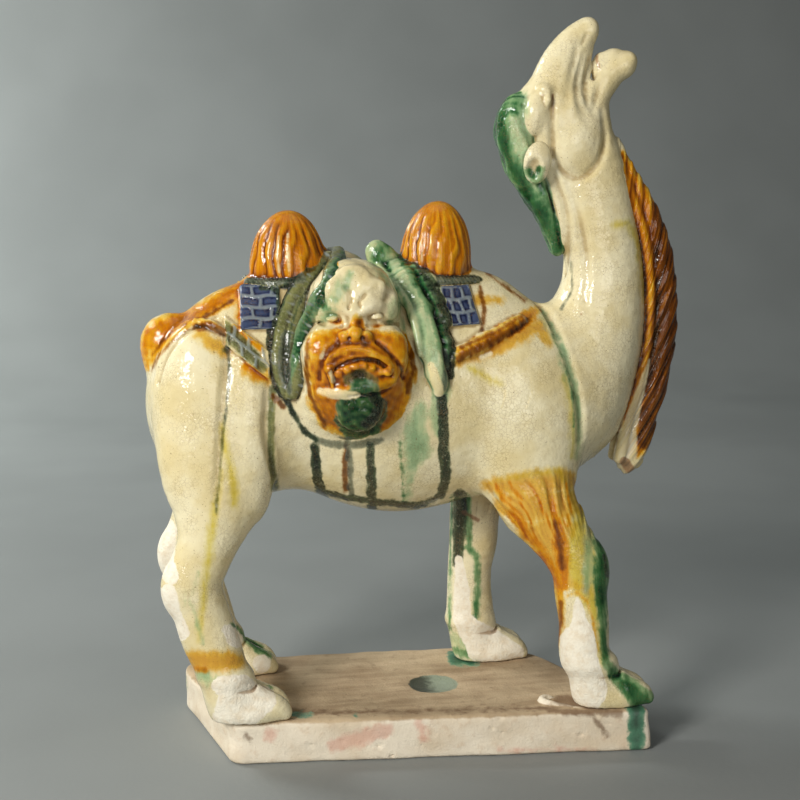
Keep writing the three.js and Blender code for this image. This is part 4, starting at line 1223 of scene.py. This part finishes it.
        [(268, 290, 5), (270, 325, 4), (268, 345, 3), (272, 372, 2), (280, 393, 2)],
        [(262, 284, 3), (285, 286, 4)],
    ],
    ("dark", "mask"): [
        [(372, 397, 5), (381, 405, 6), (378, 415, 6), (368, 424, 6)],
    ],
    ("dark", "panel"): [
        [(262, 288, 3), (280, 288, 4), (278, 320, 3)],
    ],
    ("dark", "sash"): [
        # Along the sash's right side: its darker green glaze, deepened by painted shade.
        [(408, 250, 3), (422, 268, 5), (435, 288, 6), (445, 311, 6.5), (452, 335, 7), (456, 358, 6),
         (452, 380, 4)],
    ],
    ("dark", "cords"): [
        [(298, 268, 4), (286, 288, 5), (276, 308, 5), (270, 330, 5), (266, 350, 5), (266, 372, 4),
         (278, 394, 3)],
        [(326, 262, 1.2), (311, 284, 1.4), (299, 304, 1.4), (291, 326, 1.2), (287, 350, 1.2)],
    ],
    ("cream", "skin"): [
        [(482, 357, 3), (490, 354, 2)], [(506, 381, 0.7), (505, 396, 0.8), (500, 412, 0.7)],
        [(531, 378, 0.7), (532, 394, 0.7), (526, 408, 0.6)],
    ],
    ("cream", "mask"): [
        # The stroke along the lower lip is partly pale glaze and partly painted highlight. The small stroke
        # on the left cheek is painted highlight. The others are the fang and the paler eye.
        [(321, 391, 3.4), (332, 394, 5.4), (346, 395, 4.6), (357, 395, 3)],
        [(331, 373, 1.4), (333, 381, 2)], [(380, 319, 3)], [(324, 349, 1.2), (321, 358, 1.4)],
    ],
    ("cream", "beard"): [
        [(649, 360, 0.8), (643, 382, 3.4), (636, 405, 5), (629, 430, 7.6), (626, 454, 11)],
    ],
    ("cream", "cap"): [
        # Pale streaks down the hump caps: partly thin glaze on the lock ridges, partly painted highlight.
        [(279, 236, 0.6), (277, 255, 1.2), (279, 272, 0.8)],
        [(288, 234, 0.6), (288, 256, 1.5), (289, 272, 1)], [(412, 213, 0.6), (408, 230, 0.4)],
        [(425, 232, 0.4), (421, 262, 0.6)],
    ],
    ("cream", "sash"): [
        [(431, 366, 4), (436, 380, 5), (439, 392, 5)],
    ],
    ("rust", "skin"): [
        # The first stroke is the inside of the mouth: its pink-brown, darkened along the gap as painted
        # shade.
        [(596, 53, 1), (597, 60, 1.4), (599, 68, 1.4)], [(553, 95, 1), (553, 112, 1)], [(581, 314, 1.2)],
        [(463, 512, 2), (478, 520, 2)],
    ],
    ("rust", "beard"): [
        [(625, 462, 5), (629, 468, 5)],
    ],
    ("bare", "skin"): [
        [(577, 599, 2), (579, 612, 6), (580, 628, 11), (578, 642, 18), (578, 658, 19), (585, 690, 22),
         (575, 705, 20)],
        [(459, 560, 4), (462, 590, 8), (462, 620, 9), (485, 645, 20), (510, 655, 14)],
        [(222, 686, 10), (240, 694, 20), (235, 715, 22), (262, 700, 14)], [(228, 630, 6), (236, 640, 8)],
        [(165, 530, 12), (163, 558, 11), (171, 576, 8)], [(168, 592, 8), (173, 612, 8), (182, 634, 7)],
        [(262, 664, 9)],
    ],
}

# How far a cover can lie outside or inside its edge, in millimetres
NO_COVER, FULL_COVER = -6.0, 8.0
# The left side's glazes are the right side's, moved by up to about this many pixels
MIRRORED_WANDER = 5.0
# Below this height the left legs' inner faces, which show between the legs, aren't mirrored
LEG_GLAZE_TOP = 100.0
# One pixel of the photograph on the camel, in millimetres
PIXEL_MM = 0.5
# Edges between parts of the camel are this much sharper than the edges of glazes
EDGE_GAIN = 6.0
CORD_TWIST = 4.6

# Parts that carry one glaze all over, under the strokes
BASE_GLAZES = [
    ("amber", "cap"),
    ("pale", "mane"),
    ("pale", "sash"),
    ("olive", "cords"),
    ("blue", "panel"),
]


def in_picture(p):
    """Where the photograph's camera sees points of the camel's frame."""
    sy, cy = math.sin(CAMERA_YAW), math.cos(CAMERA_YAW)
    sp, cp = math.sin(CAMERA_PITCH), math.cos(CAMERA_PITCH)
    forward = np.array([sy * cp, cy * cp, -sp])
    right = np.array([cy, -sy, 0.0])
    up = np.cross(right, forward)
    d = p.T + np.array(CAMEL_AT) - np.array(CAMERA_AT)
    depth = d @ forward
    return PICTURE / 2 + FOCAL_PIXELS * (d @ right) / depth, PICTURE / 2 - FOCAL_PIXELS * (d @ up) / depth


def stroke_cover(u, v, stroke):
    """Millimetres inside a stroke."""
    best = np.full_like(u, -FAR_OFF)
    steps = list(zip(stroke[:-1], stroke[1:])) or [(stroke[0], stroke[0])]
    for (u0, v0, r0), (u1, v1, r1) in steps:
        du, dv = u1 - u0, v1 - v0
        t = np.clip(((u - u0) * du + (v - v0) * dv) / max(du * du + dv * dv, 1e-9), 0, 1)
        away = np.hypot(u - u0 - t * du, v - v0 - t * dv)
        best = np.maximum(best, r0 + t * (r1 - r0) - away)
    return best * PIXEL_MM


def leg_middle(stations, z):
    """How far forward a leg's middle is at each height."""
    rows = sorted((s[2], s[0]) for s in stations)
    return np.interp(z, [r[0] for r in rows], [r[1] for r in rows])


def place_of_glaze(p, n):
    """Where in the photograph's frame each point of the skin finds its glaze.

    The left side looks at its mirrored place, and the left fore leg at the right one.
    """
    x, y, z = p
    low = z < LEG_GLAZE_TOP
    turned = (y > 0) & ~((n[1] < 0.1) & low)
    q = p.copy()
    q[1] = np.where(turned, -y, y)
    fore = turned & low & (x > -40)
    shift = leg_middle(NEAR_FORE_LEG, z) - leg_middle(FAR_FORE_LEG, z)
    q[0] += np.where(fore, shift * smooth_step(LEG_GLAZE_TOP, 90, z), 0)
    u, v = in_picture(q)
    wander = MIRRORED_WANDER * smooth_step(0, 12, y) * turned
    return u + wander * waves(p, 45, 21), v + 1.6 * wander * waves(p, 60, 22)


def parts_inside(p):
    """How far inside each part of the camel the points lie."""
    inside = {
        "beard": 0.9 - in_chunks(beard, p),
        "mane": 0.9 - in_chunks(mane, p),
        "mask": 0.8 - in_chunks(bags, p),
        "sash": 0.7 - in_chunks(full_sash, p),
        "cords": 0.7 - in_chunks(joined([(rear_cords, 1), (braids, 1)]), p),
        "cap": np.minimum(p[2] - CAP_RIM, 1.2 - in_chunks(humps, p)),
        "panel": np.maximum(panel_lines(p, "rear")[0], panel_lines(p, "front")[0]) + 0.2,
        "strip": panel_lines(p, "strip")[0] + 0.2,
    }
    above = np.maximum(inside["sash"], inside["cords"])
    inside["mask"] = np.minimum(inside["mask"], -above)
    above = np.maximum(above, inside["mask"])
    for woven in ("panel", "strip"):
        inside[woven] = np.minimum(inside[woven], -above)
    inside["skin"] = 0.4 - np.max(list(inside.values()), axis=0)
    return {part: EDGE_GAIN * value for part, value in inside.items()}


def hair_values(p, inside):
    """How far across its strands each point lies, and how much of its skin is combed hair."""
    x, y, z = p
    strand = 60 * about_shin(p)
    hair = 0.45 * smooth_step(70, 90, z) * smooth_step(124, 102, z) * smooth_step(10, 22, x)
    hump_x = np.where(x > -33, FRONT_HUMP[0], REAR_HUMP[0])
    around = np.arctan2(y, x - hump_x)
    for part, across, most in (("cap", 13 * around, 0.45), ("beard", 0.55 * beard_across(x, z), 1.5)):
        share = smooth_step(-1, 1, inside[part]) * most
        strand = np.where(share > 0.2, across, strand)
        hair = np.maximum(hair, share)
    return strand, hair


def glaze_values(p, n):
    """One value a point for each glaze: millimetres inside its edge."""
    u, v = place_of_glaze(p, n)
    inside = parts_inside(p)
    values = {}

    def lay(glaze, cover, part):
        cover = np.minimum(cover, inside[part])
        values[glaze] = np.maximum(values.get(glaze, NO_COVER), cover)

    for (glaze, part), strokes in STROKES.items():
        for stroke in strokes:
            lay(glaze, stroke_cover(u, v, stroke), part)
    for glaze, part in BASE_GLAZES:
        lay(glaze, inside[part], part)
    for panel, part in (("rear", "panel"), ("front", "panel"), ("strip", "strip")):
        rim, line = panel_lines(p, panel)
        lay("mortar", np.where(rim > 0.3, 2.4 * (0.66 - line), NO_COVER), part)
    twist = np.mod((p[2] + 0.5 * p[0] + 0.8 * waves(p, 14, 71, 4)) / CORD_TWIST, 1.0) - 0.5
    lay("mortar", 0.9 * waves(p, 6, 72, 5) - 0.1 - 1.6 * np.abs(twist) * CORD_TWIST, "cords")
    values = {key: np.clip(value, NO_COVER, FULL_COVER) for key, value in values.items()}
    values["strand"], values["hair"] = hair_values(p, inside)
    return values


# Materials


def linear(colour):
    """A colour given as it looks on a screen, 0 to 255, as the shader wants it."""
    return [((c / 255) / 12.92 if c <= 10 else ((c / 255 + 0.055) / 1.055) ** 2.4) for c in colour] + [1.0]


class Shader:
    """A node tree with short names for what these materials use."""

    def __init__(self, name):
        self.material = bpy.data.materials.new(name)
        self.material.use_nodes = True
        self.tree = self.material.node_tree
        self.tree.nodes.clear()
        self.place = self.add("ShaderNodeTexCoord").outputs["Object"]

    def add(self, kind, settings=None, **inputs):
        node = self.tree.nodes.new(kind)
        for key, value in (settings or {}).items():
            setattr(node, key, value)
        for key, value in inputs.items():
            self.put(node.inputs[key.replace("_", " ")], value)
        return node

    def put(self, socket, value):
        if isinstance(value, bpy.types.NodeSocket):
            self.tree.links.new(value, socket)
        else:
            socket.default_value = value

    def math(self, kind, a, b):
        node = self.add("ShaderNodeMath", {"operation": kind})
        self.put(node.inputs[0], a)
        self.put(node.inputs[1], b)
        return node.outputs[0]

    def times(self, a, b):
        return self.math("MULTIPLY", a, b)

    def plus(self, a, b, gain):
        """a and gain times b."""
        return self.math("ADD", a, self.times(b, gain))

    def value(self, name):
        return self.add("ShaderNodeAttribute", {"attribute_name": name}).outputs["Fac"]

    def ranged(self, value, low, high, to_low=0.0, to_high=1.0, smooth=True):
        kind = "SMOOTHSTEP" if smooth else "LINEAR"
        node = self.add("ShaderNodeMapRange", {"interpolation_type": kind}, Value=value)
        for key, given in (("From Min", low), ("From Max", high), ("To Min", to_low), ("To Max", to_high)):
            self.put(node.inputs[key], given)
        return node.outputs["Result"]

    def scaled(self, x=1.0, y=1.0, z=1.0, shift=0.0):
        """Object coordinates in millimetres, stretched along an axis where its number is small."""
        factors = (x / MM, y / MM, z / MM)
        node = self.add("ShaderNodeMapping", Vector=self.place, Scale=factors, Location=(shift, shift, shift))
        return node.outputs["Vector"]

    def noise(self, size, detail=3.0, rough=0.55, stretch=(1, 1, 1), shift=0.0):
        """A noise of about -1 to 1 with features of that size in millimetres."""
        at = self.scaled(*[s / size for s in stretch], shift=shift)
        node = self.add("ShaderNodeTexNoise", Vector=at, Scale=1.0, Detail=detail, Roughness=rough)
        return self.ranged(node.outputs["Fac"], 0.25, 0.75, -1.0, 1.0, smooth=False)

    def strand_noise(self, name, size):
        """A noise of about -1 to 1 along one value only, with features of that size in millimetres."""
        at = self.math("DIVIDE", self.value(name), size)
        node = self.add("ShaderNodeTexNoise", {"noise_dimensions": "1D"}, W=at, Scale=1.0, Detail=2.0)
        return self.ranged(node.outputs["Fac"], 0.25, 0.75, -1.0, 1.0, smooth=False)

    def cells(self, size, feature="DISTANCE_TO_EDGE", wobble=0.35, shift=0.0):
        """Voronoi cells of that size in millimetres, with wavering edges."""
        at = self.scaled(1 / size, 1 / size, 1 / size, shift)
        drift = self.add("ShaderNodeTexNoise", Vector=at, Scale=1.7, Detail=2.0)
        push = self.add("ShaderNodeVectorMath", {"operation": "MULTIPLY_ADD"})
        self.put(push.inputs[0], drift.outputs["Color"])
        self.put(push.inputs[1], (wobble, wobble, wobble))
        self.put(push.inputs[2], at)
        node = self.add("ShaderNodeTexVoronoi", {"feature": feature}, Vector=push.outputs[0], Scale=1.0)
        return node.outputs[0]

    def mixed(self, share, a, b, how="MIX"):
        node = self.add("ShaderNodeMix", {"data_type": "RGBA", "blend_type": how})
        self.put(node.inputs["Factor"], share)
        self.put(node.inputs[6], a)
        self.put(node.inputs[7], b)
        return node.outputs[2]

    def between(self, share, a, b):
        """A colour between two screen colours."""
        return self.mixed(share, linear(a), linear(b))

    def tinted(self, colour, share, tint):
        """A colour with a share of a screen colour over it."""
        return self.mixed(share, colour, linear(tint))

    def ramp(self, value, stops):
        """A colour that runs through stops of (place, screen colour)."""
        node = self.add("ShaderNodeValToRGB", Fac=value)
        elements = node.color_ramp.elements
        while len(elements) < len(stops):
            elements.new(0.5)
        for element, (place, colour) in zip(elements, stops):
            element.position = place
            element.color = linear(colour)
        return node.outputs["Color"]

    def bump(self, height, distance, normal=None):
        node = self.add("ShaderNodeBump", Strength=1.0, Distance=distance * MM, Height=height)
        if normal is not None:
            self.put(node.inputs["Normal"], normal)
        return node.outputs["Normal"]

    def finish(self, colour, rough, normal, **uniform):
        surface = self.add("ShaderNodeBsdfPrincipled", Roughness=rough, Normal=normal)
        self.put(surface.inputs["Base Color"], colour)
        for key, value in uniform.items():
            surface.inputs[key.replace("_", " ")].default_value = value
        out = self.add("ShaderNodeOutputMaterial")
        self.tree.links.new(surface.outputs[0], out.inputs["Surface"])
        return self.material


# Each glaze: its softness and wander at the edge in millimetres, its depth, its strength, and its
# colours from the thin edge to the deep middle. A later glaze lies over an earlier one.
GLAZES = [
    ("yellow", 2.2, 2.0, 4.0, 0.92, [(0.0, (236, 212, 128)), (0.35, (232, 184, 50)), (1.0, (204, 138, 12))]),
    ("lemon", 2.4, 1.6, 5.0, 0.9, [(0.0, (232, 222, 146)), (0.4, (224, 206, 74)), (1.0, (188, 166, 30))]),
    ("pale", 1.8, 2.2, 6.0, 0.9, [(0.0, (216, 222, 186)), (0.45, (166, 200, 164)), (1.0, (88, 146, 108))]),
    (
        "amber", 1.0, 1.4, 4.4, 1.0,
        [(0.0, (240, 208, 104)), (0.28, (232, 170, 28)), (0.6, (204, 124, 6)), (1.0, (122, 58, 4))],
    ),
    ("olive", 0.9, 1.0, 2.5, 0.92, [(0.0, (160, 162, 104)), (0.5, (84, 98, 44)), (1.0, (36, 48, 22))]),
    (
        "green", 0.9, 1.4, 4.0, 1.0,
        [(0.0, (146, 182, 140)), (0.35, (70, 124, 80)), (0.7, (24, 76, 46)), (1.0, (6, 34, 20))],
    ),
    ("blue", 0.5, 0.6, 3.0, 1.0, [(0.0, (150, 160, 170)), (0.4, (74, 90, 134)), (1.0, (22, 32, 74))]),
    ("brown", 0.9, 1.2, 2.2, 0.94, [(0.0, (178, 118, 28)), (0.5, (114, 66, 10)), (1.0, (50, 28, 4))]),
    ("mortar", 0.9, 0.5, 2.0, 0.75, [(0.0, (126, 136, 140)), (1.0, (178, 184, 172))]),
    ("slate", 0.7, 1.0, 2.5, 0.9, [(0.0, (146, 152, 136)), (0.5, (82, 94, 84)), (1.0, (38, 48, 42))]),
    ("dark", 0.6, 1.1, 2.5, 0.97, [(0.0, (86, 106, 78)), (0.4, (34, 50, 36)), (1.0, (12, 18, 14))]),
    ("cream", 0.6, 0.8, 3.0, 0.9, [(0.0, (240, 222, 168)), (1.0, (250, 240, 208))]),
    ("rust", 0.6, 0.8, 2.0, 0.8, [(0.0, (176, 130, 98)), (1.0, (92, 52, 34))]),
]
# A glaze's colour runs on past its depth where it pools in hollows and streaks
DEPTH_SHARE = 0.66
# Glazes with pale crystals in them and pale lines where they run thin over the relief
FROSTED = ("olive", "slate", "dark")
# Glazes that hide what lies under them; the others are clear and tinted by it
OPAQUE = ("cream", "mortar")


def glaze_material():
    s = Shader("glaze")
    hollow = s.value("hollow")
    broad = s.noise(24, 3)
    fine = s.noise(4.5, 4, 0.6)
    grain = s.noise(1.3, 3, 0.6)
    streak = s.noise(3.2, 3, 0.55, stretch=(1, 1, 0.16), shift=3.7)
    strands = s.times(s.strand_noise("strand", 1.1), s.value("hair"))

    crystals = s.ranged(s.noise(1.9, 3, 0.7, shift=6.2), 0.1, 0.9, 0, 0.55)
    thin = s.ranged(s.cells(1.2, wobble=0.9, shift=2.0), 0.0, 0.12, 0.26, 0)
    frost = s.math("MAXIMUM", crystals, s.times(thin, s.ranged(broad, -0.5, 0.4, 0.2, 1)))

    # The colour turns darker brown where the skin lies in hollows.
    hollow_darkening = s.plus(hollow, fine, 0.03)
    colour = s.between(s.ranged(broad, -0.6, 0.7), (238, 227, 189), (223, 206, 156))
    colour = s.tinted(colour, s.ranged(fine, -0.2, 1.0, 0, 0.3), (208, 188, 136))
    colour = s.tinted(colour, s.ranged(hollow_darkening, 0.03, 0.4, 0, 0.7), (158, 130, 78))

    for name, soft, wander, deep, strength, stops in GLAZES:
        edge = s.plus(s.times(fine, wander * 0.6), streak, wander * 0.5)
        cover = s.math("ADD", s.value(name), edge)
        share = s.ranged(cover, -soft, soft, 0, strength)
        depth = s.ranged(cover, -soft, deep, 0.0, DEPTH_SHARE, smooth=False)
        for cause, gain in ((hollow, 1.1), (streak, 0.15), (broad, 0.14), (strands, 0.2)):
            depth = s.plus(depth, cause, gain)
        glass = s.ramp(depth, stops)
        if name in FROSTED:
            glass = s.tinted(glass, frost, (176, 182, 160))
        clear = 0.1 if name in OPAQUE else 0.6
        colour = s.mixed(share, colour, s.mixed(clear, glass, colour, "MULTIPLY"))

    crack = s.ranged(s.cells(1.8), 0.0, 0.1, 1, 0)
    crack = s.times(crack, s.ranged(s.noise(14, 2, shift=9.1), -0.6, 0.7, 0.05, 0.8))
    colour = s.tinted(colour, s.times(crack, 0.38), (132, 102, 58))
    colour = s.tinted(colour, s.ranged(s.noise(0.9, 1, shift=4.4), 0.82, 0.98, 0, 0.55), (110, 80, 44))

    bare = s.ranged(s.plus(s.value("bare"), fine, 0.9), -0.5, 0.5)
    clay = s.between(s.ranged(fine, -0.4, 0.9), (244, 236, 216), (232, 218, 192))
    # Bare clay also turns darker brown in hollows.
    clay = s.tinted(clay, s.ranged(hollow_darkening, 0.02, 0.3, 0, 0.75), (170, 138, 104))
    colour = s.mixed(bare, colour, clay)

    rough = s.plus(s.ranged(bare, 0, 1, 0.1, 0.8), grain, 0.04)
    normal = s.bump(s.noise(6, 3, shift=1.3), 0.16)
    normal = s.bump(strands, 0.07, normal)
    normal = s.bump(s.times(crack, -1.0), 0.05, normal)
    normal = s.bump(s.times(grain, bare), 0.12, normal)
    return s.finish(colour, rough, normal, Specular_IOR_Level=0.42)


# A run of green glaze on the slab, from its thin edge to its deep middle
SLAB_GREEN = [(0.0, (160, 178, 148)), (0.3, (64, 122, 94)), (0.6, (20, 72, 54)), (1.0, (10, 38, 30))]


def clay_material():
    s = Shader("slab_clay")
    broad = s.noise(30, 3)
    fine = s.noise(5, 4, 0.6)
    grain = s.noise(1.1, 3, 0.65)
    brushed = s.noise(9, 3, 0.6, stretch=(0.12, 1, 1), shift=5.0)
    pink = s.plus(s.value("pink"), fine, 2.0)
    dark = s.plus(s.value("dark"), fine, 1.4)
    green = s.plus(s.value("green"), fine, 1.6)
    pool = s.plus(s.value("dish"), fine, 0.8)
    pale = s.plus(s.value("dish_painted_shading"), fine, 3.0)

    side = s.between(s.ranged(broad, -0.5, 0.7), (234, 222, 200), (218, 200, 172))
    side = s.tinted(side, s.ranged(fine, 0.1, 1.0, 0, 0.5), (206, 180, 150))
    side = s.tinted(side, s.ranged(pink, -1, 3, 0, 0.5), (214, 150, 128))
    top = s.between(s.ranged(brushed, -0.8, 0.8), (188, 164, 132), (152, 128, 98))
    top = s.tinted(top, s.ranged(broad, -0.6, 0.8, 0, 0.5), (206, 184, 150))
    top = s.tinted(top, s.ranged(fine, 0.2, 1.0, 0, 0.4), (132, 108, 80))
    colour = s.mixed(s.ranged(s.plus(s.value("top"), fine, 0.5), -0.5, 0.7), side, top)
    colour = s.tinted(colour, s.ranged(dark, -1.0, 1.6, 0, 0.75), (112, 84, 58))

    run = s.ramp(s.ranged(green, -1, 7, smooth=False), SLAB_GREEN)
    colour = s.mixed(s.ranged(green, -0.8, 0.8, 0, 0.95), colour, run)
    # The pool's glaze is painted shade on the dish's left and painted light on its right.
    glass = s.between(s.ranged(pale, -2, 3), (46, 60, 50), (140, 152, 132))
    colour = s.mixed(s.ranged(pool, -0.6, 0.6, 0, 0.92), colour, glass)
    rough = s.ranged(s.math("MAXIMUM", green, pool), -0.5, 0.8, 0.86, 0.3)
    normal = s.bump(fine, 0.12, s.bump(grain, 0.07))
    return s.finish(colour, rough, normal, Specular_IOR_Level=0.4)


# The slab, cut by hand from a sheet of clay: its field in the row frame

SLAB_CORNERS = [(-94.7, -39.2), (117.65, -59.0), (78.7, 36.1), (46.5, 52.2), (-117.65, 59.0)]
# The last corner is worn back by a cut askew, this far in from it
WORN_BACK = 5.8
DIAGONAL = 0.707
DISH_AT = (CAMEL_AT[0] + 3.1, CAMEL_AT[1] - 4.1)
DISH_RADIUS, DISH_DEPTH = 14.0, 2.5
# The radius of the ball that hollows the dish out
DISH_BALL = (DISH_RADIUS**2 + DISH_DEPTH**2) / (2 * DISH_DEPTH)
PITS = 34

dish = ball([*DISH_AT, SLAB_THICKNESS - DISH_DEPTH + DISH_BALL], [DISH_BALL] * 3)
curl = limb([
    [68.5, -33, 21.6, 1.5, 1.5],
    [65, -34.6, 22.4, 1.7, 1.7],
    [63, -38, 22.6, 1.8, 1.8],
    [65, -41.5, 22.4, 1.7, 1.7],
    [69, -43.4, 21.9, 1.4, 1.4],
    [74, -46, 21.5, 1.1, 1.1],
    [80, -50, 21, 0.8, 0.8],
])


def slab(p):
    x, y, z = p
    uneven = np.maximum(0.45 + 0.45 * waves(np.stack([x, y, 2.5 * z]), 34, 31, 7), 0)
    d = np.full_like(x, -FAR_OFF)
    for (x0, y0), (x1, y1) in zip(SLAB_CORNERS, SLAB_CORNERS[1:] + SLAB_CORNERS[:1]):
        length = math.hypot(x1 - x0, y1 - y0)
        side = ((x - x0) * (y1 - y0) - (y - y0) * (x1 - x0)) / length
        d = cut_to(d, side + uneven, 7)
    corner_x, corner_y = SLAB_CORNERS[-1]
    d = cut_to(d, DIAGONAL * (corner_x - x) - DIAGONAL * (corner_y - y) + WORN_BACK, 14)
    d = cut_to(d, z - SLAB_THICKNESS + 0.25 + 0.2 * waves(p, 22, 32, 6), 3.2)
    d = carve(d, z, 2.4)
    d = carve(d, dish(p), 1.5)
    d = blend(d, curl(p), 0.8)
    (x0, y0), (x1, y1) = SLAB_CORNERS[:2]
    rng = np.random.default_rng(7)
    for _ in range(PITS):
        share, height = rng.uniform(0, 1), rng.uniform(2, SLAB_THICKNESS)
        size = rng.uniform(0.5, 1.3)
        spot = [x0 + share * (x1 - x0), y0 + share * (y1 - y0), height]
        d = carve(d, ball(spot, [size * rng.uniform(1, 2), size, size * 0.8])(p), 0.8)
    return d


SLAB_STROKES = {
    "green": [
        [(630, 698, 10), (637, 712, 9), (636, 730, 8), (637, 748, 7)],
        [(183, 676, 3), (184, 689, 3)],
        [(292, 715, 2), (310, 716, 2.6)],
        [(356, 716, 2)],
        [(455, 658, 8), (475, 660, 6)],
    ],
    "dark": [
        [(215, 716, 3), (300, 713, 2.4), (420, 711, 1.8), (540, 708, 2), (566, 712, 4), (620, 713, 4)],
        [(262, 655, 10), (240, 690, 6)],
        [(594, 718, 3), (602, 728, 3), (608, 735, 2)],
        [(246, 735, 3), (250, 742, 2)],
        [(560, 700, 6), (600, 706, 6)],
    ],
    "pink": [
        [(334, 745, 8), (360, 738, 10), (388, 730, 8)],
        [(418, 722, 6), (424, 738, 5)],
        [(500, 750, 4), (560, 749, 3), (594, 750, 2)],
        [(270, 735, 8)],
    ],
}


def slab_values(p):
    x, y, z = p
    u, v = in_picture(p - np.array(CAMEL_AT)[:, None])
    upper = z > SLAB_THICKNESS * 0.5
    values = {
        glaze: np.max([stroke_cover(u, v, stroke) for stroke in strokes], axis=0)
        for glaze, strokes in SLAB_STROKES.items()
    }
    values["dark"] = np.where(upper, values["dark"], np.minimum(values["dark"], 0.5))
    values["top"] = np.minimum(z - SLAB_THICKNESS + 1.6, 2 * curl(p) - 0.6)
    dish_rim = DISH_RADIUS - 1 - np.hypot(x - DISH_AT[0], y - DISH_AT[1])
    values["dish"] = np.where(upper, dish_rim, NO_COVER)
    # Painted shading across the dish: darker to the left, paler to the right.
    values["dish_painted_shading"] = 0.6 * (x - DISH_AT[0] + 2)
    return {key: np.clip(value, NO_COVER, FULL_COVER) for key, value in values.items()}


# The pieces

# The skin is parted here, so that no piece is too large: the head is above and in front of its two
# limits, the legs are below theirs, and the chest is in front of its own
HEAD_FLOOR, HEAD_BACK = 212.0, 38.0
LEGS_TOP = 92.0
CHEST_BACK = -29.0

glaze = glaze_material()
clay = clay_material()

points, faces = skin(camel, DRAWN_LOW, DRAWN_HIGH, SKIN_STEP)
normals = normals_of(points, faces)
values = glaze_values(points, normals)
# Narrow hollows count in full and broad ones a little
values["hollow"] = hollowness(points, normals, faces, 6) + 0.3 * hollowness(points, normals, faces, 24)
values["hollow"] = np.clip(values["hollow"], -0.22, 0.6)

middles = points[:, faces].mean(2)
in_head = (middles[2] > HEAD_FLOOR) & (middles[0] > HEAD_BACK)
in_legs = middles[2] < LEGS_TOP
in_front = ~in_head & ~in_legs & (middles[0] > CHEST_BACK)
in_rear = ~(in_head | in_legs | in_front)
for name, chosen in (("head", in_head), ("legs", in_legs), ("chest", in_front), ("saddle", in_rear)):
    used, local = np.unique(faces[chosen], return_inverse=True)
    part = mesh_object(
        "camel_" + name,
        points[:, used],
        local.reshape(-1, 4),
        normals[:, used],
        CAMEL_AT,
        glaze,
        {key: value[used] for key, value in values.items()},
    )
    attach(part, "root")
    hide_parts("camel")

slab_points, slab_faces = skin(slab, SLAB_LOW, SLAB_HIGH, SLAB_STEP)
# Nothing dips below the underside
slab_points[2] = np.maximum(slab_points[2], 0)
plinth = mesh_object(
    "slab",
    slab_points,
    slab_faces,
    normals_of(slab_points, slab_faces),
    (0, 0, 0),
    clay,
    slab_values(slab_points),
)
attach(plinth, "root")
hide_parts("plinth")


# The studio


def area_light(name, at, aim, size, power, colour):
    data = bpy.data.lights.new(name, "AREA")
    data.shape = "RECTANGLE"
    data.size, data.size_y = size
    data.energy = power
    data.color = colour
    made = bpy.data.objects.new(name, data)
    made.location = at
    made.rotation_euler = (Vector(aim) - Vector(at)).to_track_quat("-Z", "Y").to_euler()
    bpy.context.scene.collection.objects.link(made)


FLOOR_FRONT, FLOOR_BACK = -3.0, 0.9
BACKDROP_BEND, BACKDROP_TOP = 0.5, 3.0
HALF_WIDTH = 3.0
BEND_STEPS = 16


def sweep():
    """A pale floor that curves up into a backdrop."""
    profile = [(FLOOR_FRONT, 0.0), (FLOOR_BACK, 0.0)]
    for i in range(1, BEND_STEPS + 1):
        angle = i / BEND_STEPS * math.pi / 2
        profile.append((FLOOR_BACK + BACKDROP_BEND * math.sin(angle), BACKDROP_BEND * (1 - math.cos(angle))))
    profile.append((FLOOR_BACK + BACKDROP_BEND, BACKDROP_TOP))
    points = [(x, y, z) for y, z in profile for x in (-HALF_WIDTH, HALF_WIDTH)]
    quads = [(2 * i, 2 * i + 1, 2 * i + 3, 2 * i + 2) for i in range(len(profile) - 1)]
    mesh = bpy.data.meshes.new("studio_floor")
    mesh.from_pydata(points, [], quads)
    mesh.shade_smooth()
    made = bpy.data.objects.new("studio_floor", mesh)
    bpy.context.scene.collection.objects.link(made)
    s = Shader("floor_paint")
    tint = s.between(s.ranged(s.noise(160, 2), -0.8, 0.8), (138, 141, 139), (132, 135, 133))
    mesh.materials.append(s.finish(tint, 0.7, s.bump(s.noise(3, 2), 0.02)))


sweep()
area_light("key", (-0.9, -0.85, 0.72), (0, 0, 0.2), (0.36, 0.42), 16, (1.0, 0.98, 0.94))
area_light("fill", (0.1, -1.1, 0.4), (0, 0, 0.2), (0.5, 0.5), 2.2, (1.0, 0.99, 0.96))
area_light("top", (0.0, 0.1, 1.2), (0, 0, 0.2), (0.9, 0.7), 1.2, (1, 1, 1))
area_light("backdrop", (-1.05, 0.75, 1.0), (-0.85, 1.15, 0.1), (0.5, 0.5), 25, (0.95, 1.0, 0.99))

world = bpy.data.worlds.new("studio")
world.use_nodes = True
background = world.node_tree.nodes["Background"]
background.inputs["Color"].default_value = (0.76, 0.8, 0.8, 1)
background.inputs["Strength"].default_value = 0.1
bpy.context.scene.world = world
bpy.context.scene.view_settings.view_transform = "Standard"

camera = bpy.data.objects.new("camera", bpy.data.cameras.new("camera"))
camera.data.sensor_width = 36.0
camera.data.lens = FOCAL_PIXELS / PICTURE * camera.data.sensor_width
camera.location = Vector(CAMERA_AT) * MM
camera.rotation_euler = (math.pi / 2 - CAMERA_PITCH, 0, -CAMERA_YAW)
bpy.context.scene.collection.objects.link(camera)
bpy.context.scene.camera = camera
